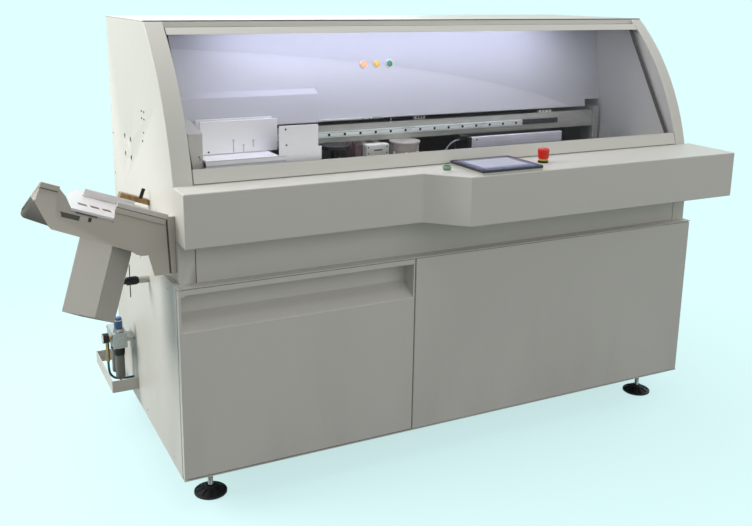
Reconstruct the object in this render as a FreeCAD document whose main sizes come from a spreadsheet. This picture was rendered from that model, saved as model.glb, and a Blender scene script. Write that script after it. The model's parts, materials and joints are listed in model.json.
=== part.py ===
"""Floor-standing perfect binding machine, in millimetres.

The machine is laid out from the front left corner of its cabinet: x runs to the right along
the cabinet, y runs back from the face of the lower doors, and z runs up from the floor.
The document itself is centred: every piece is shifted so that the middle of the machine's
box stands on the origin.
"""
import FreeCAD, Part
import math
import os
import re
import Sketcher

SIZES = {
    # how far a cutting block runs past what it cuts
    "cut_past": 1,
    # lower cabinet and its doors
    "cabinet_length": 1900,
    "cabinet_depth": 879,
    "cabinet_under": 105,
    "cabinet_height": 585,
    "panel_sheet": 3,
    "panel_fold": 27,
    "door_depth": 20,
    "door_sheet": 2,
    "door_gap": 3,
    "left_door_width": 749,
    "door_edge_gap": 1,
    "door_end_gap": 2,
    "door_seal_gap": 3,
    "door_pin_inset": 10,
    "door_pin_radius": 5,
    "door_pin_grip": 14,
    "door_washer_radius": 8,
    "door_washer_high": 1.7,
    "hinge_block": 18,
    "pin_clearance": 0.05,
    "scoop_height": 450,
    "scoop_lip": 17,
    "scoop_depth": 62,
    "scoop_rise": 40,
    "scoop_inset": 5,
    # welded base and feet
    "frame_tube": 40,
    "post_setback": 95,
    "foot_inset_x": 102,
    "foot_inset_y": 90,
    "foot_radius": 50,
    "foot_hub_radius": 17,
    "foot_rim": 7,
    "foot_high": 26,
    "stem_radius": 8,
    "nut_radius": 15,
    "nut_high": 12,
    # upper body
    "band_height": 121,
    "band_front": 35,
    "band_end": 49,
    "band_groove": 2,
    "console_height": 153,
    "hood_height": 438,
    "casing_left": 13,
    "casing_right_margin": 1,
    "left_casing_width": 57,
    "right_casing_width": 44,
    "casing_sheet": 3,
    "casing_front": 60,
    "hood_top_front": 341,
    "hood_radius": 820,
    "roof_sheet": 3,
    "roof_lip": 19,
    "right_band_end": 54,
    "side_hole_radius": 9,
    "side_hole_y": 580,
    "side_hole_pitch": 87,
    "side_hole_z": 1017,
    "side_hole_drop": 59,
    # console
    "console_front": 42,
    "console_wide_front": 147,
    "console_bevel_start": 745,
    "console_bevel_end": 850,
    "console_overhang": 24,
    "console_sheet": 3,
    "screen_centre_x": 1000,
    "screen_centre_y": 49,
    "screen_width": 224,
    "screen_depth": 186,
    "screen_high": 15,
    "screen_border": 17,
    "screen_corner": 6,
    "glass_sheet": 3,
    "start_x": 820,
    "start_y": 51,
    "start_radius": 12,
    "start_bezel_radius": 17,
    "start_bezel_high": 7,
    "start_head_high": 8,
    "stop_x": 1188,
    "stop_y": 38,
    "stop_head_radius": 19,
    "stop_head_high": 28,
    "stop_base_radius": 20,
    "stop_base_high": 14,
    "button_stem_radius": 9,
    "button_stem_drop": 22,
    "button_neck_radius": 14,
    "button_neck_drop": 18,
    "button_clearance": 0.3,
    "button_travel": 4,
    # safety cover
    "cover_side_gap": 2,
    "window_sheet": 5,
    "window_inset": 3,
    "cover_strip_sheet": 2,
    "cover_strip_high": 19,
    "cover_rail_gap": 2,
    "cover_rail_high": 40,
    "cover_rail_deep": 17,
    "cover_rail_proud": 1,
    "hinge_y": 335,
    "hinge_gap": 1,
    "knuckle_radius": 5,
    "hinge_pin_radius": 2.5,
    "hinge_lug_count": 4,
    "hinge_lug_width": 40,
    "hinge_lug_gap": 0.3,
    "hinge_leaf_sheet": 3,
    "brace_wide": 14,
    "brace_thick": 6,
    "brace_inset": 4,
    # working bay
    "bay_back_y": 480,
    "bay_back_drop": 345,
    "bay_back_lean": 9.8,
    "bay_back_sheet": 3,
    "bay_notch_width": 74,
    "bay_notch_high": 28,
    "chest_right": 625,
    "chest_high": 112,
    "chest_deep": 24,
    "chest_bevel": 16,
    "lamp_first_x": 815,
    "lamp_pitch": 51,
    "lamp_rise": 187,
    "lamp_radius": 11,
    "lamp_bezel_radius": 15,
    "lamp_bezel_proud": 4,
    "lamp_lens_proud": 7,
    "lamp_body_deep": 25,
    "light_bar_inset": 80,
    "light_bar_setback": 30,
    "light_bar_deep": 34,
    "light_bar_high": 14,
    "bed_drop": 114,
    "bed_thick": 15,
    "bed_back": 700,
    "deck_back": 285,
    "deck_sheet": 4,
    "beam_deep": 60,
    "beam_rise": 14,
    "beam_high": 64,
    "beam_slot_high": 14,
    "beam_slot_deep": 10,
    "beam_slot_end": 1650,
    "post_width": 26,
    "post_margin": 11,
    "rail_start": 120,
    "rail_end": 1475,
    "rail_high": 20,
    "rail_deep": 12,
    "rail_pitch": 60,
    "rail_socket": 3.2,
    # clamp
    "spine_level": 21,
    "clamp_left": 189,
    "clamp_length": 257,
    "jaw_front_y": 392,
    "jaw_thick": 10,
    "jaw_high": 104,
    "book_gap": 40,
    "clamp_clearance": 0.3,
    "block_length": 60,
    "block_high": 48,
    "jaw_rod_radius": 5,
    "jaw_rod_inset": 10,
    "jaw_rod_end": 2,
    "jaw_travel": 40,
    "loading_plate_left": 417,
    "loading_plate_width": 134,
    "loading_plate_y": 300,
    "loading_plate_rise": 113,
    "loading_plate_step": 12,
    "loading_plate_step_rise": 42,
    "loading_plate_sheet": 4,
    "ledge_front": 300,
    "ledge_sheet": 8,
    "ledge_apron": 3,
    "stop_block_left": 131,
    "stop_block_width": 45,
    "stop_block_y": 320,
    "stop_block_rise": 101,
    # stations under the clamp
    "station_front": 394,
    "station_deep": 72,
    "station_clearance": 2,
    "cutter_x": 665,
    "cutter_radius": 55,
    "cutter_tooth": 5,
    "cutter_thick": 12,
    "cutter_teeth": 12,
    "spindle_radius": 12,
    "spindle_grip": 20,
    "motor_radius": 46,
    "motor_high": 80,
    "dust_hood_left": 730,
    "dust_hood_width": 25,
    "dust_hood_wall": 3,
    "tank_left": 757,
    "tank_length": 106,
    "tank_high": 120,
    "tank_wall": 7,
    "roller_radius": 21,
    "roller_pitch": 46,
    "roller_side_gap": 1,
    "roller_shaft_radius": 5,
    "drive_block_width": 86,
    "drive_block_deep": 30,
    "drive_block_low": 75,
    "drive_block_grip": 15,
    "drum_x": 948,
    "drum_y": 445,
    "drum_radius": 52,
    "drum_lid": 4,
    "nip_left": 1190,
    "nip_length": 405,
    "nip_bar": 14,
    "nip_bar_high": 38,
    "nip_travel": 8,
    "nip_table_sheet": 20,
    "nip_leg": 24,
    "nip_clearance": 0.3,
    # cover hopper
    "hopper_tilt": 20,
    "hopper_y": 58,
    "hopper_z": 872,
    "hopper_sheet": 3,
    "hopper_length": 355,
    "hopper_end_drop": 30,
    "hopper_ear": 17,
    "ear_width": 49,
    "ear_flange": 100,
    "ear_flange_fall": 22,
    "notch_floor": 60,
    "notch_shelf": 44,
    "notch_step": 234,
    "notch_left": 296,
    "notch_right": 145,
    "notch_corner": 15,
    "notch_flare": 8,
    "hopper_corner_reach": 20,
    "hopper_corner_drop": 91,
    "hopper_belly": 107,
    "hopper_belly_left": 98,
    "hopper_belly_right": 76,
    "hopper_corner_round": 14,
    "hopper_right": 11,
    "leg_reach": 52,
    "leg_drop": 144,
    "leg_width": 47,
    "leg_shoulder": 27,
    "leg_fillet": 49,
    "hopper_rim": 14,
    "hopper_rim_proud": 5,
    "table_level": 31,
    "table_back": 385,
    "table_left": 262,
    "table_taper": 58,
    "ramp_rise": 43,
    "slot_y": 156,
    "slot_width": 28,
    "slot_length": 25,
    "slot_pitch": 34,
    "slot_start": 228,
    "side_guide_y": 300,
    "side_guide_length": 150,
    "side_guide_left": 190,
    "side_guide_high": 22,
    "side_guide_foot": 20,
    "side_guide_clearance": 0.3,
    "angle_width": 50,
    "angle_reach": 30,
    "duct_lean": 16.25,
    "duct_half": 75.7,
    "duct_sheet": 2,
    "duct_x": 157,
    "duct_y": 75,
    "duct_z": 800,
    "duct_rise": 100,
    "duct_drop": 250,
    "duct_mitre": 18.2,
    "duct_outlet": 216,
    # switch, joggler and air unit on the left side
    "switch_y": 350,
    "switch_z": 618,
    "switch_boss_radius": 11,
    "switch_boss_long": 31,
    "switch_knob_radius": 13,
    "switch_knob_long": 51,
    "switch_bar_radius": 1.5,
    "switch_bar_long": 105,
    "switch_pin_radius": 5,
    "switch_gap": 1,
    "switch_grip": 12,
    "joggler_y": 350,
    "joggler_out": 75,
    "joggler_gap": 6,
    "joggler_high": 24,
    "joggler_deep": 28,
    "joggler_roller": 8,
    "air_guard_out": 88,
    "air_guard_long": 292,
    "air_guard_back": 9,
    "air_guard_low": 153,
    "air_guard_high": 43,
    "air_guard_sheet": 3,
    "air_y": 605,
    "air_x": 53,
    "air_low": 308,
    "air_wide": 48,
    "air_high": 54,
    "air_collar_radius": 18,
    "air_collar_high": 12,
    "air_knob_radius": 14,
    "air_knob_high": 38,
    "air_knob_grip": 10,
    "air_bowl_radius": 16,
    "air_bowl_high": 95,
    "air_bowl_edge": 4,
    "air_bowl_pitch": 60,
    "air_bowl_collar": 27,
    "air_gauge_radius": 17,
    "air_gauge_long": 20,
    "air_port_radius": 5.7,
    "air_port_long": 30,
    "air_inlet_radius": 11,
    "elbow_y": 640,
    "elbow_out": 9,
    "elbow_radius": 6,
    "elbow_drop": 75,
    "hose_radius": 4,
    "plug_radius": 6,
    "plug_long": 26,
    "plug_back": 20,
    "plug_rise": 29,
    "cable_radius": 3,
}

DERIVED = {
    "cabinet_top": "cabinet_under + cabinet_height",
    "band_top": "cabinet_top + band_height",
    "console_top": "band_top + console_height",
    "roof_top": "console_top + hood_height",
    "casing_top": "roof_top - roof_sheet",
    "casing_right": "cabinet_length + casing_right_margin",
    "bay_left": "casing_left + left_casing_width",
    "bay_right": "casing_right - right_casing_width",
    "console_right": "cabinet_length + console_overhang",
    "hood_rise": "roof_top - console_top",
    "hood_run": "hood_top_front - casing_front",
    "hood_chord": "sqrt(hood_rise * hood_rise + hood_run * hood_run)",
    "hood_arm": "sqrt(hood_radius * hood_radius - hood_chord * hood_chord / 4)",
    "hood_centre_y": "(casing_front + hood_top_front) / 2 + hood_arm * hood_rise / hood_chord",
    "hood_centre_z": "(console_top + roof_top) / 2 - hood_arm * hood_run / hood_chord",
    "hopper_corner_x": "hopper_length + hopper_corner_reach - hopper_corner_round",
    "hopper_corner_w": "hopper_corner_drop - hopper_corner_round",
    "hopper_reach": "hopper_corner_x * cos(hopper_tilt) + hopper_corner_w * sin(hopper_tilt) + hopper_corner_round",
    "origin_x": "(console_right - hopper_reach) / 2",
    "origin_y": "(cabinet_depth - console_wide_front) / 2",
    "carcass_low": "cabinet_under + panel_sheet",
    "carcass_high": "cabinet_top - panel_sheet",
    "door_back": "door_depth + door_seal_gap",
    "door_low": "carcass_low + door_end_gap",
    "door_high": "carcass_high - door_end_gap",
    "door_split": "door_edge_gap + left_door_width",
    "scoop_z": "door_low + scoop_height",
    "scoop_lip_z": "door_high - scoop_lip",
    "scoop_slope": "scoop_rise / scoop_depth",
    "scoop_offset": "door_sheet * sqrt(1 + scoop_slope * scoop_slope)",
    "post_x": "door_split + (door_gap - frame_tube) / 2",
    "hinge_z": "roof_top - roof_lip - hinge_gap - knuckle_radius",
    "leaf_y": "hood_top_front + roof_sheet",
    "window_out": "hood_radius - window_inset",
    "window_in": "window_out - window_sheet",
    "strip_out": "window_out + cover_strip_sheet",
    "strip_top": "hinge_z + knuckle_radius",
    "window_top": "strip_top - cover_strip_sheet",
    "cover_left": "bay_left + cover_side_gap",
    "cover_right": "bay_right - cover_side_gap",
    "cover_low": "console_top + cover_rail_gap",
    "cover_rail_top": "cover_low + cover_rail_high",
    "cover_rail_back": "casing_front - cover_rail_proud + cover_rail_deep",
    "bed_z": "console_top - bed_drop",
    "spine_z": "console_top + spine_level",
    "station_top": "spine_z - station_clearance",
    "beam_low": "console_top + beam_rise",
    "beam_top": "beam_low + beam_high",
    "beam_right": "bay_right - post_margin - post_width",
    "rail_z": "beam_low + beam_high / 2",
    "back_low": "roof_top - bay_back_drop",
    "jaw_back_y": "jaw_front_y + jaw_thick",
    "rear_jaw_y": "jaw_back_y + book_gap",
    "carriage_y": "rear_jaw_y + jaw_thick",
    "clamp_right": "clamp_left + clamp_length",
    "book_y": "jaw_back_y + book_gap / 2",
    "jaw_rod_z": "(beam_top + back_low) / 2",
    "station_back": "station_front + station_deep",
    "roller_z": "station_top - roller_radius",
    "nip_z": "station_top - nip_bar_high",
    "nip_front_y": "jaw_back_y - nip_travel - nip_bar",
    "nip_rear_y": "rear_jaw_y + nip_travel",
    "table_right": "(casing_left + table_level * sin(hopper_tilt)) / cos(hopper_tilt)",
    "duct_centre_y": "duct_y + duct_half",
    "air_guard_front": "cabinet_depth - air_guard_back - air_guard_long",
    "air_top": "air_low + air_high",
}

WORLD = {"x": "-origin_x + ", "y": "-origin_y + ", "z": ""}
LOCAL = {"x": "", "y": "", "z": ""}
PLANES = {"XY": ("XY_Plane", 1), "XZ": ("XZ_Plane", -1), "YZ": ("YZ_Plane", 1)}
TURN = {
    "X": FreeCAD.Rotation(FreeCAD.Vector(0, 1, 0), 90),
    "Y": FreeCAD.Rotation(FreeCAD.Vector(1, 0, 0), -90),
    "Z": FreeCAD.Rotation(),
}
PARTS = []
# The duct's outlet is cut off level with the floor: the cut turns about this line in the duct's frame.
MITRE_AXIS = (-0.9516, 0.3073, 0)

# Points of the air hose and of the nip sensor's cable, from the cabinet's front left corner.
HOSE_ROUTE = [(-86, 640, 246), (-86, 640, 224), (-83, 642, 200), (-70, 646, 180), (-48, 650, 171),
              (-24, 653, 168), (0, 655, 168)]
CABLE_ROUTE = [(1150, 400, 974), (1128, 400, 973), (1099, 401, 950), (1084, 403, 915), (1076, 404, 880),
               (1072, 404, 850)]


def fx(text):
    """Writes an expression on the sheet's aliases as FreeCAD reads it from another object."""
    return re.sub(r"[a-z]\w*", lambda m: "Dims." + m[0] if m[0] in NAMES else m[0], str(text))


def num(text):
    """The number that an expression on the sheet has now."""
    found = sheet.evalExpression(fx(text))
    return float(getattr(found, "Value", found))


NAMES = set(SIZES) | set(DERIVED)
doc = FreeCAD.newDocument("perfect_binder")
sheet = doc.addObject("Spreadsheet::Sheet", "Dims")
for row, (name, entry) in enumerate(list(SIZES.items()) + list(DERIVED.items()), start=1):
    sheet.set(f"A{row}", name)
    sheet.set(f"B{row}", str(entry) if name in SIZES else "=" + entry)
    sheet.setAlias(f"B{row}", name)
doc.recompute()

def place(item, x, y, z, frame=WORLD):
    """Binds an object's base point to the sheet, in the centred frame or in a frame of its own."""
    for axis, text in (("x", x), ("y", y), ("z", z)):
        item.setExpression("Placement.Base." + axis, fx(frame[axis] + f"({text})"))
    return item


def turn(item, axis, angle):
    """Turns an object about its base point by an angle of the sheet."""
    item.Placement = FreeCAD.Placement(FreeCAD.Vector(), FreeCAD.Rotation(FreeCAD.Vector(*axis), num(angle)))
    item.setExpression("Placement.Rotation.Angle", fx(angle))
    return item


def box(x, y, z, frame=WORLD):
    """A block from three (low, high) spans."""
    item = doc.addObject("Part::Box", "Block")
    for side, (low, high) in (("Length", x), ("Width", y), ("Height", z)):
        item.setExpression(side, fx(f"({high}) - ({low})"))
    return place(item, x[0], y[0], z[0], frame)


def rod(axis, at, radius, length, frame=WORLD):
    """A round bar from the point at, along +X, +Y or +Z."""
    item = doc.addObject("Part::Cylinder", "Rod")
    item.setExpression("Radius", fx(radius))
    item.setExpression("Height", fx(length))
    item.Placement = FreeCAD.Placement(FreeCAD.Vector(), TURN[axis])
    return place(item, *at, frame)


def hexagon(axis, at, radius, length):
    """A six-sided bar, such as a nut or the socket of a screw, from its outer radius."""
    item = doc.addObject("Part::Prism", "Hexagon")
    item.Polygon = 6
    item.setExpression("Circumradius", fx(radius))
    item.setExpression("Height", fx(length))
    item.Placement = FreeCAD.Placement(FreeCAD.Vector(), TURN[axis])
    return place(item, *at)


def cut(base, *tools):
    item = doc.addObject("Part::Cut", "Cut")
    item.Base = base
    item.Tool = tools[0] if len(tools) == 1 else fuse(*tools)
    return item


def fuse(*pieces):
    if len(pieces) == 1:
        return pieces[0]
    item = doc.addObject("Part::MultiFuse", "Joined")
    item.Shapes = list(pieces)
    return item


def group(*pieces):
    """Separate solids that share one node."""
    item = doc.addObject("Part::Compound", "Group")
    item.Links = list(pieces)
    return item


def node(label, item):
    """Names the object that is written as one sub-part."""
    item.Label = label
    PARTS.append(item)
    return item


def draw(sketch, outline):
    """Draws one closed outline. A corner is (u, v), or (u, v, radius, side) where the edge that
    leads to it is an arc that bulges to the left (side 1) or right (side -1) of its way. An arc
    runs anticlockwise in a sketch, so one that bulges to the left is drawn from its far end."""
    corners = [(num(c[0]), num(c[1])) for c in outline]
    edges = []
    for i, corner in enumerate(outline):
        start, end = corners[i - 1], corners[i]
        first, last = FreeCAD.Vector(*start, 0), FreeCAD.Vector(*end, 0)
        if len(corner) == 4:
            chord = last - first
            radius = num(corner[2])
            rise = radius - math.sqrt(max(radius * radius - chord.Length ** 2 / 4, 0))
            left = FreeCAD.Vector(-chord.y, chord.x, 0).normalize()
            middle = (first + last) * 0.5 + left * (rise * corner[3])
            swapped = corner[3] == 1
            ends = (last, middle, first) if swapped else (first, middle, last)
            edge = sketch.addGeometry(Part.Arc(*ends), False)
            bound = sketch.addConstraint(Sketcher.Constraint("Radius", edge, radius))
            sketch.setExpression(f"Constraints[{bound}]", fx(corner[2]))
        else:
            edge = sketch.addGeometry(Part.LineSegment(first, last), False)
            swapped = False
        edges.append((edge, (2, 1) if swapped else (1, 2)))
    for i, (edge, (start, end)) in enumerate(edges):
        following, (next_start, _) = edges[(i + 1) % len(edges)]
        sketch.addConstraint(Sketcher.Constraint("Coincident", edge, end, following, next_start))
        for kind, value, text in (("DistanceX", corners[i][0], outline[i][0]),
                                  ("DistanceY", corners[i][1], outline[i][1])):
            bound = sketch.addConstraint(Sketcher.Constraint(kind, -1, 1, edge, end, value))
            sketch.setExpression(f"Constraints[{bound}]", fx(text))


def prism(plane, outline, low, high, frame=WORLD):
    """A body padded from an outline on a plane of its own, between two offsets along the
    plane's axis: x for YZ, y for XZ and z for XY."""
    body = doc.addObject("PartDesign::Body", "Body")
    sketch = body.newObject("Sketcher::SketchObject", "Outline")
    role, sense = PLANES[plane]
    support = [o for o in body.Origin.OriginFeatures if o.Role == role][0]
    sketch.AttachmentSupport = [(support, "")]
    sketch.MapMode = "FlatFace"
    sketch.setExpression("AttachmentOffset.Base.z", fx(low if sense > 0 else f"-({high})"))
    draw(sketch, outline)
    pad = body.newObject("PartDesign::Pad", "Pad")
    pad.Profile = sketch
    pad.setExpression("Length", fx(f"({high}) - ({low})"))
    body.Tip = pad
    return place(body, 0, 0, 0, frame)


def spun(outline, at):
    """A body turned about its own upright axis from an outline of (radius, height) corners."""
    body = doc.addObject("PartDesign::Body", "Body")
    sketch = body.newObject("Sketcher::SketchObject", "Profile")
    support = [o for o in body.Origin.OriginFeatures if o.Role == "XZ_Plane"][0]
    sketch.AttachmentSupport = [(support, "")]
    sketch.MapMode = "FlatFace"
    draw(sketch, outline)
    turned = body.newObject("PartDesign::Revolution", "Turned")
    turned.Profile = sketch
    turned.ReferenceAxis = (sketch, ["V_Axis"])
    turned.Angle = 360
    body.Tip = turned
    return place(body, *at)


def tube(points, radius):
    """A cord or hose: straight runs joined by tangent arcs as large as the runs allow."""
    shift = FreeCAD.Vector(-num("origin_x"), -num("origin_y"), 0)
    corners = [FreeCAD.Vector(*point) + shift for point in points]
    edges, here, bends = [], corners[0], []
    for before, corner, after in zip(corners, corners[1:], corners[2:]):
        reach = 0.45 * min(corner.distanceToPoint(before), corner.distanceToPoint(after))
        inward, outward = (before - corner).normalize(), (after - corner).normalize()
        half = inward.getAngle(outward) / 2
        bend = reach * math.tan(half)
        start, end = corner + inward * reach, corner + outward * reach
        middle = corner + (inward + outward).normalize() * (bend / math.sin(half) - bend)
        edges += [Part.LineSegment(here, start).toShape(), Part.Arc(start, middle, end).toShape()]
        here = end
        bends.append(round(bend, 1))
    edges.append(Part.LineSegment(here, corners[-1]).toShape())
    path = Part.Wire(edges)
    section = Part.Wire(Part.Circle(corners[0], corners[1] - corners[0], num(radius)).toShape())
    item = doc.addObject("Part::Feature", "Tube")
    item.Shape = path.makePipeShell([section], True, False)
    print("bend radii", bends, "volume over section times length",
          round(item.Shape.Volume / (math.pi * num(radius) ** 2 * path.Length), 4))
    return item


def arc_y(radius, z):
    """How far back the hood's curve of a radius lies at a height."""
    rise = f"(({z}) - hood_centre_z)"
    return f"hood_centre_y - sqrt(({radius}) * ({radius}) - {rise} * {rise})"


def back_y(z):
    """How far back the front of the leaning bay panel lies at a height."""
    return f"bay_back_y + tan(bay_back_lean) * (({z}) - back_low)"


def lean(item):
    """Puts a piece drawn in the hopper's own frame on the machine's left side."""
    turn(item, (0, 1, 0), "hopper_tilt")
    return place(item, 0, 0, "hopper_z")


# ---------------------------------------------------------------- lower cabinet

def base_frame():
    """Welded square tube: a ring on the floor sheet, six posts, a ring under the top sheet, and
    the sheet that divides the cabinet behind the middle posts."""
    left = ("panel_sheet", "panel_sheet + frame_tube")
    right = ("cabinet_length - panel_sheet - frame_tube", "cabinet_length - panel_sheet")
    middle = ("post_x", "post_x + frame_tube")
    across = ("panel_sheet", "cabinet_length - panel_sheet")
    front_beam = ("foot_inset_y - frame_tube / 2", "foot_inset_y + frame_tube / 2")
    back_beam = ("cabinet_depth - foot_inset_y - frame_tube / 2", "cabinet_depth - foot_inset_y + frame_tube / 2")
    front_post = ("post_setback", "post_setback + frame_tube")
    back_post = ("cabinet_depth - post_setback - frame_tube", "cabinet_depth - post_setback")
    low = ("carcass_low", "carcass_low + frame_tube")
    high = ("carcass_high - frame_tube", "carcass_high")
    beams = [box(across, y, low) for y in (front_beam, back_beam)]
    beams += [box(x, (front_beam[0], back_beam[1]), low) for x in (left, right)]
    beams += [box(across, y, high) for y in (front_post, back_post)]
    beams += [box(x, (front_post[0], back_post[1]), high) for x in (left, right)]
    beams += [box(x, y, (low[0], high[1])) for x in (left, middle, right) for y in (front_post, back_post)]
    divider = box(("post_x", "post_x + panel_sheet"), (front_post[1], back_post[0]), (low[0], high[1]))
    return fuse(divider, *beams)


def carcass_sheet(z):
    """The floor or the top sheet of the carcass, drilled for the hinge pins of the doors."""
    plate = box((0, "cabinet_length"), (0, "cabinet_depth"), z)
    holes = [rod("Z", (x, "door_pin_inset", z[0]), "door_pin_radius", "panel_sheet") for x in PIVOTS]
    return cut(plate, *holes)


PIVOTS = ("door_edge_gap + door_pin_inset", "cabinet_length - door_edge_gap - door_pin_inset")


def left_panel():
    outline = [(0, "door_back"), ("panel_sheet", "door_back"), ("panel_sheet", "cabinet_depth - panel_sheet"),
               ("panel_sheet + panel_fold", "cabinet_depth - panel_sheet"),
               ("panel_sheet + panel_fold", "cabinet_depth"), (0, "cabinet_depth")]
    return prism("XY", outline, "carcass_low", "carcass_high")


def right_panel():
    length = "cabinet_length"
    inner = "cabinet_length - panel_sheet"
    fold = "cabinet_length - panel_sheet - panel_fold"
    outline = [(length, "door_back"), (length, "cabinet_depth"), (fold, "cabinet_depth"),
               (fold, "cabinet_depth - panel_sheet"), (inner, "cabinet_depth - panel_sheet"), (inner, "door_back")]
    return prism("XY", outline, "carcass_low", "carcass_high")


def door_pins():
    """Four hinge pins fixed in the carcass sheets, each with a washer that carries the door."""
    pins = []
    for x in PIVOTS:
        pins.append(rod("Z", (x, "door_pin_inset", "cabinet_under"), "door_pin_radius",
                        "panel_sheet + door_end_gap + door_pin_grip"))
        pins.append(rod("Z", (x, "door_pin_inset", "carcass_low"), "door_washer_radius", "door_washer_high"))
        pins.append(rod("Z", (x, "door_pin_inset", "door_high - door_pin_grip"), "door_pin_radius",
                        "panel_sheet + door_end_gap + door_pin_grip"))
    return [fuse(*pins[0:2]), pins[2], fuse(*pins[3:5]), pins[5]]


def pan(low_x, high_x):
    """The folded section of a door between two places along it."""
    inner, back = "door_sheet", "door_depth"
    top, low = "door_high - door_sheet", "door_low + door_sheet"
    outline = [(0, "door_low"), (back, "door_low"), (back, low), (inner, low),
               (inner, top), (back, top), (back, "door_high"), (0, "door_high")]
    return prism("YZ", outline, low_x, high_x)


def scooped_pan(low_x, high_x):
    """The folded section of the left door, with the finger scoop pressed into it."""
    inner, back = "door_sheet", "door_depth"
    behind = "scoop_depth + door_sheet"
    lip = "scoop_lip_z + door_sheet"
    outline = [(0, "door_low"), (back, "door_low"), (back, "door_low + door_sheet"),
               (inner, "door_low + door_sheet"), (inner, "scoop_z + door_sheet * scoop_slope - scoop_offset"),
               (behind, f"scoop_z + ({behind}) * scoop_slope - scoop_offset"), (behind, lip), (inner, lip),
               (inner, "door_high - door_sheet"), (back, "door_high - door_sheet"), (back, "door_high"),
               (0, "door_high"), (0, "scoop_lip_z"), ("scoop_depth", "scoop_lip_z"),
               ("scoop_depth", "scoop_z + scoop_rise"), (0, "scoop_z")]
    return prism("YZ", outline, low_x, high_x)


def door(left, right, pivot, pivot_side, *skins):
    """A door pan closed at both ends, with hinge blocks bored for the pins."""
    back = (0, "door_depth")
    high = ("door_low", "door_high")
    pieces = list(skins)
    pieces += [box((left, f"{left} + door_sheet"), back, high), box((f"{right} - door_sheet", right), back, high)]
    block_x = (left, f"{left} + door_sheet + hinge_block")
    if pivot_side == "right":
        block_x = (f"{right} - door_sheet - hinge_block", right)
    grip = "door_sheet + hinge_block"
    pieces += [box(block_x, back, ("door_low", f"door_low + {grip}")),
               box(block_x, back, (f"door_high - ({grip})", "door_high"))]
    bores = [rod("Z", (pivot, "door_pin_inset", z), "door_pin_radius + pin_clearance", "door_pin_grip + pin_clearance")
             for z in ("door_low", "door_high - door_pin_grip - pin_clearance")]
    return cut(fuse(*pieces), *bores)


def left_door():
    inset_left, inset_right = "door_edge_gap + scoop_inset", "door_split - scoop_inset"
    cheek = [(0, "scoop_z"), ("scoop_depth", "scoop_z + scoop_rise"), ("scoop_depth", "scoop_lip_z"),
             (0, "scoop_lip_z")]
    cheeks = [prism("YZ", cheek, *span) for span in
              ((inset_left, f"{inset_left} + door_sheet"), (f"{inset_right} - door_sheet", inset_right))]
    return door("door_edge_gap", "door_split", PIVOTS[0], "left", pan("door_edge_gap", inset_left),
                scooped_pan(inset_left, inset_right), pan(inset_right, "door_split"), *cheeks)


def right_door():
    left, right = "door_split + door_gap", "cabinet_length - door_edge_gap"
    return door(left, right, PIVOTS[1], "right", pan(left, right))


def foot(x, y):
    """A levelling foot: a disc with a sloping back, a steel stem and its lock nut."""
    disc = spun([(0, 0), ("foot_radius", 0), ("foot_radius", "foot_rim"),
                 ("foot_hub_radius", "foot_high"), (0, "foot_high")], (x, y, 0))
    stem = rod("Z", (x, y, "foot_high"), "stem_radius", "cabinet_under - foot_high")
    nut = hexagon("Z", (x, y, "cabinet_under - nut_high"), "nut_radius", "nut_high")
    return fuse(disc, stem, nut)


node("base_frame", base_frame())
node("cabinet_floor_and_top", group(carcass_sheet(("cabinet_under", "carcass_low")),
                                    carcass_sheet(("carcass_high", "cabinet_top"))))
node("cabinet_left_panel", left_panel())
node("cabinet_right_panel", right_panel())
node("cabinet_back_panel", box(("panel_sheet", "cabinet_length - panel_sheet"),
                               ("cabinet_depth - 2 * panel_sheet", "cabinet_depth - panel_sheet"),
                               ("carcass_low", "carcass_high")))
node("left_door", left_door())
node("right_door", right_door())
node("levelling_feet", group(*[foot(x, y) for x in ("foot_inset_x", "cabinet_length - foot_inset_x")
                               for y in ("foot_inset_y", "cabinet_depth - foot_inset_y")]))


# ---------------------------------------------------------------- upper body

def casing(left, right):
    """A side cheek: a folded pan, open at the back and underneath."""
    back = "cabinet_depth - casing_sheet"
    outline = [("band_front", "cabinet_top"), (back, "cabinet_top"), (back, "casing_top"),
               (arc_y("hood_radius", "casing_top"), "casing_top"),
               ("casing_front", "console_top", "hood_radius", -1),
               ("casing_front", "band_top"), ("band_front", "band_top")]
    inner_radius = "hood_radius - casing_sheet"
    roof, shelf = "casing_top - casing_sheet", "band_top - casing_sheet"
    wall = arc_y(inner_radius, "console_top")
    hollow = [("band_front + casing_sheet", "cabinet_top - cut_past"), ("cabinet_depth", "cabinet_top - cut_past"),
              ("cabinet_depth", roof), (arc_y(inner_radius, roof), roof),
              (wall, "console_top", inner_radius, -1), (wall, shelf), ("band_front + casing_sheet", shelf)]
    return cut(prism("YZ", outline, left, right),
               prism("YZ", hollow, f"{left} + casing_sheet", f"{right} - casing_sheet"))


def left_casing():
    """The left cheek, with four access holes and room for the band panel at its front."""
    holes = [rod("X", ("casing_left", f"side_hole_y + {i} * side_hole_pitch", f"side_hole_z - {j} * side_hole_drop"),
                 "side_hole_radius", "casing_sheet") for i in range(2) for j in range(2)]
    step = box(("casing_left + band_end", "bay_left"), ("band_front", "band_front + casing_sheet"),
               ("cabinet_top", "band_top"))
    return cut(casing("casing_left", "bay_left"), step, *holes)


def right_casing():
    """The right cheek, whose front is folded in as far as the groove of the band panel."""
    fold = box(("casing_right - right_band_end", "bay_right"), ("band_front", "band_front + casing_sheet"),
               ("cabinet_top", "band_top"))
    return fuse(casing("bay_right", "casing_right"), fold)


def lug_spans(margin):
    """Where the fixed hinge lugs lie along the cover, with a margin at both ends."""
    count = round(num("hinge_lug_count"))
    pitch = "(cover_right - cover_left) / hinge_lug_count"
    half = f"hinge_lug_width / 2 + {margin}"
    centres = [f"cover_left + {i + 0.5} * {pitch}" for i in range(count)]
    return [(f"{centre} - ({half})", f"{centre} + ({half})") for centre in centres]


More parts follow.
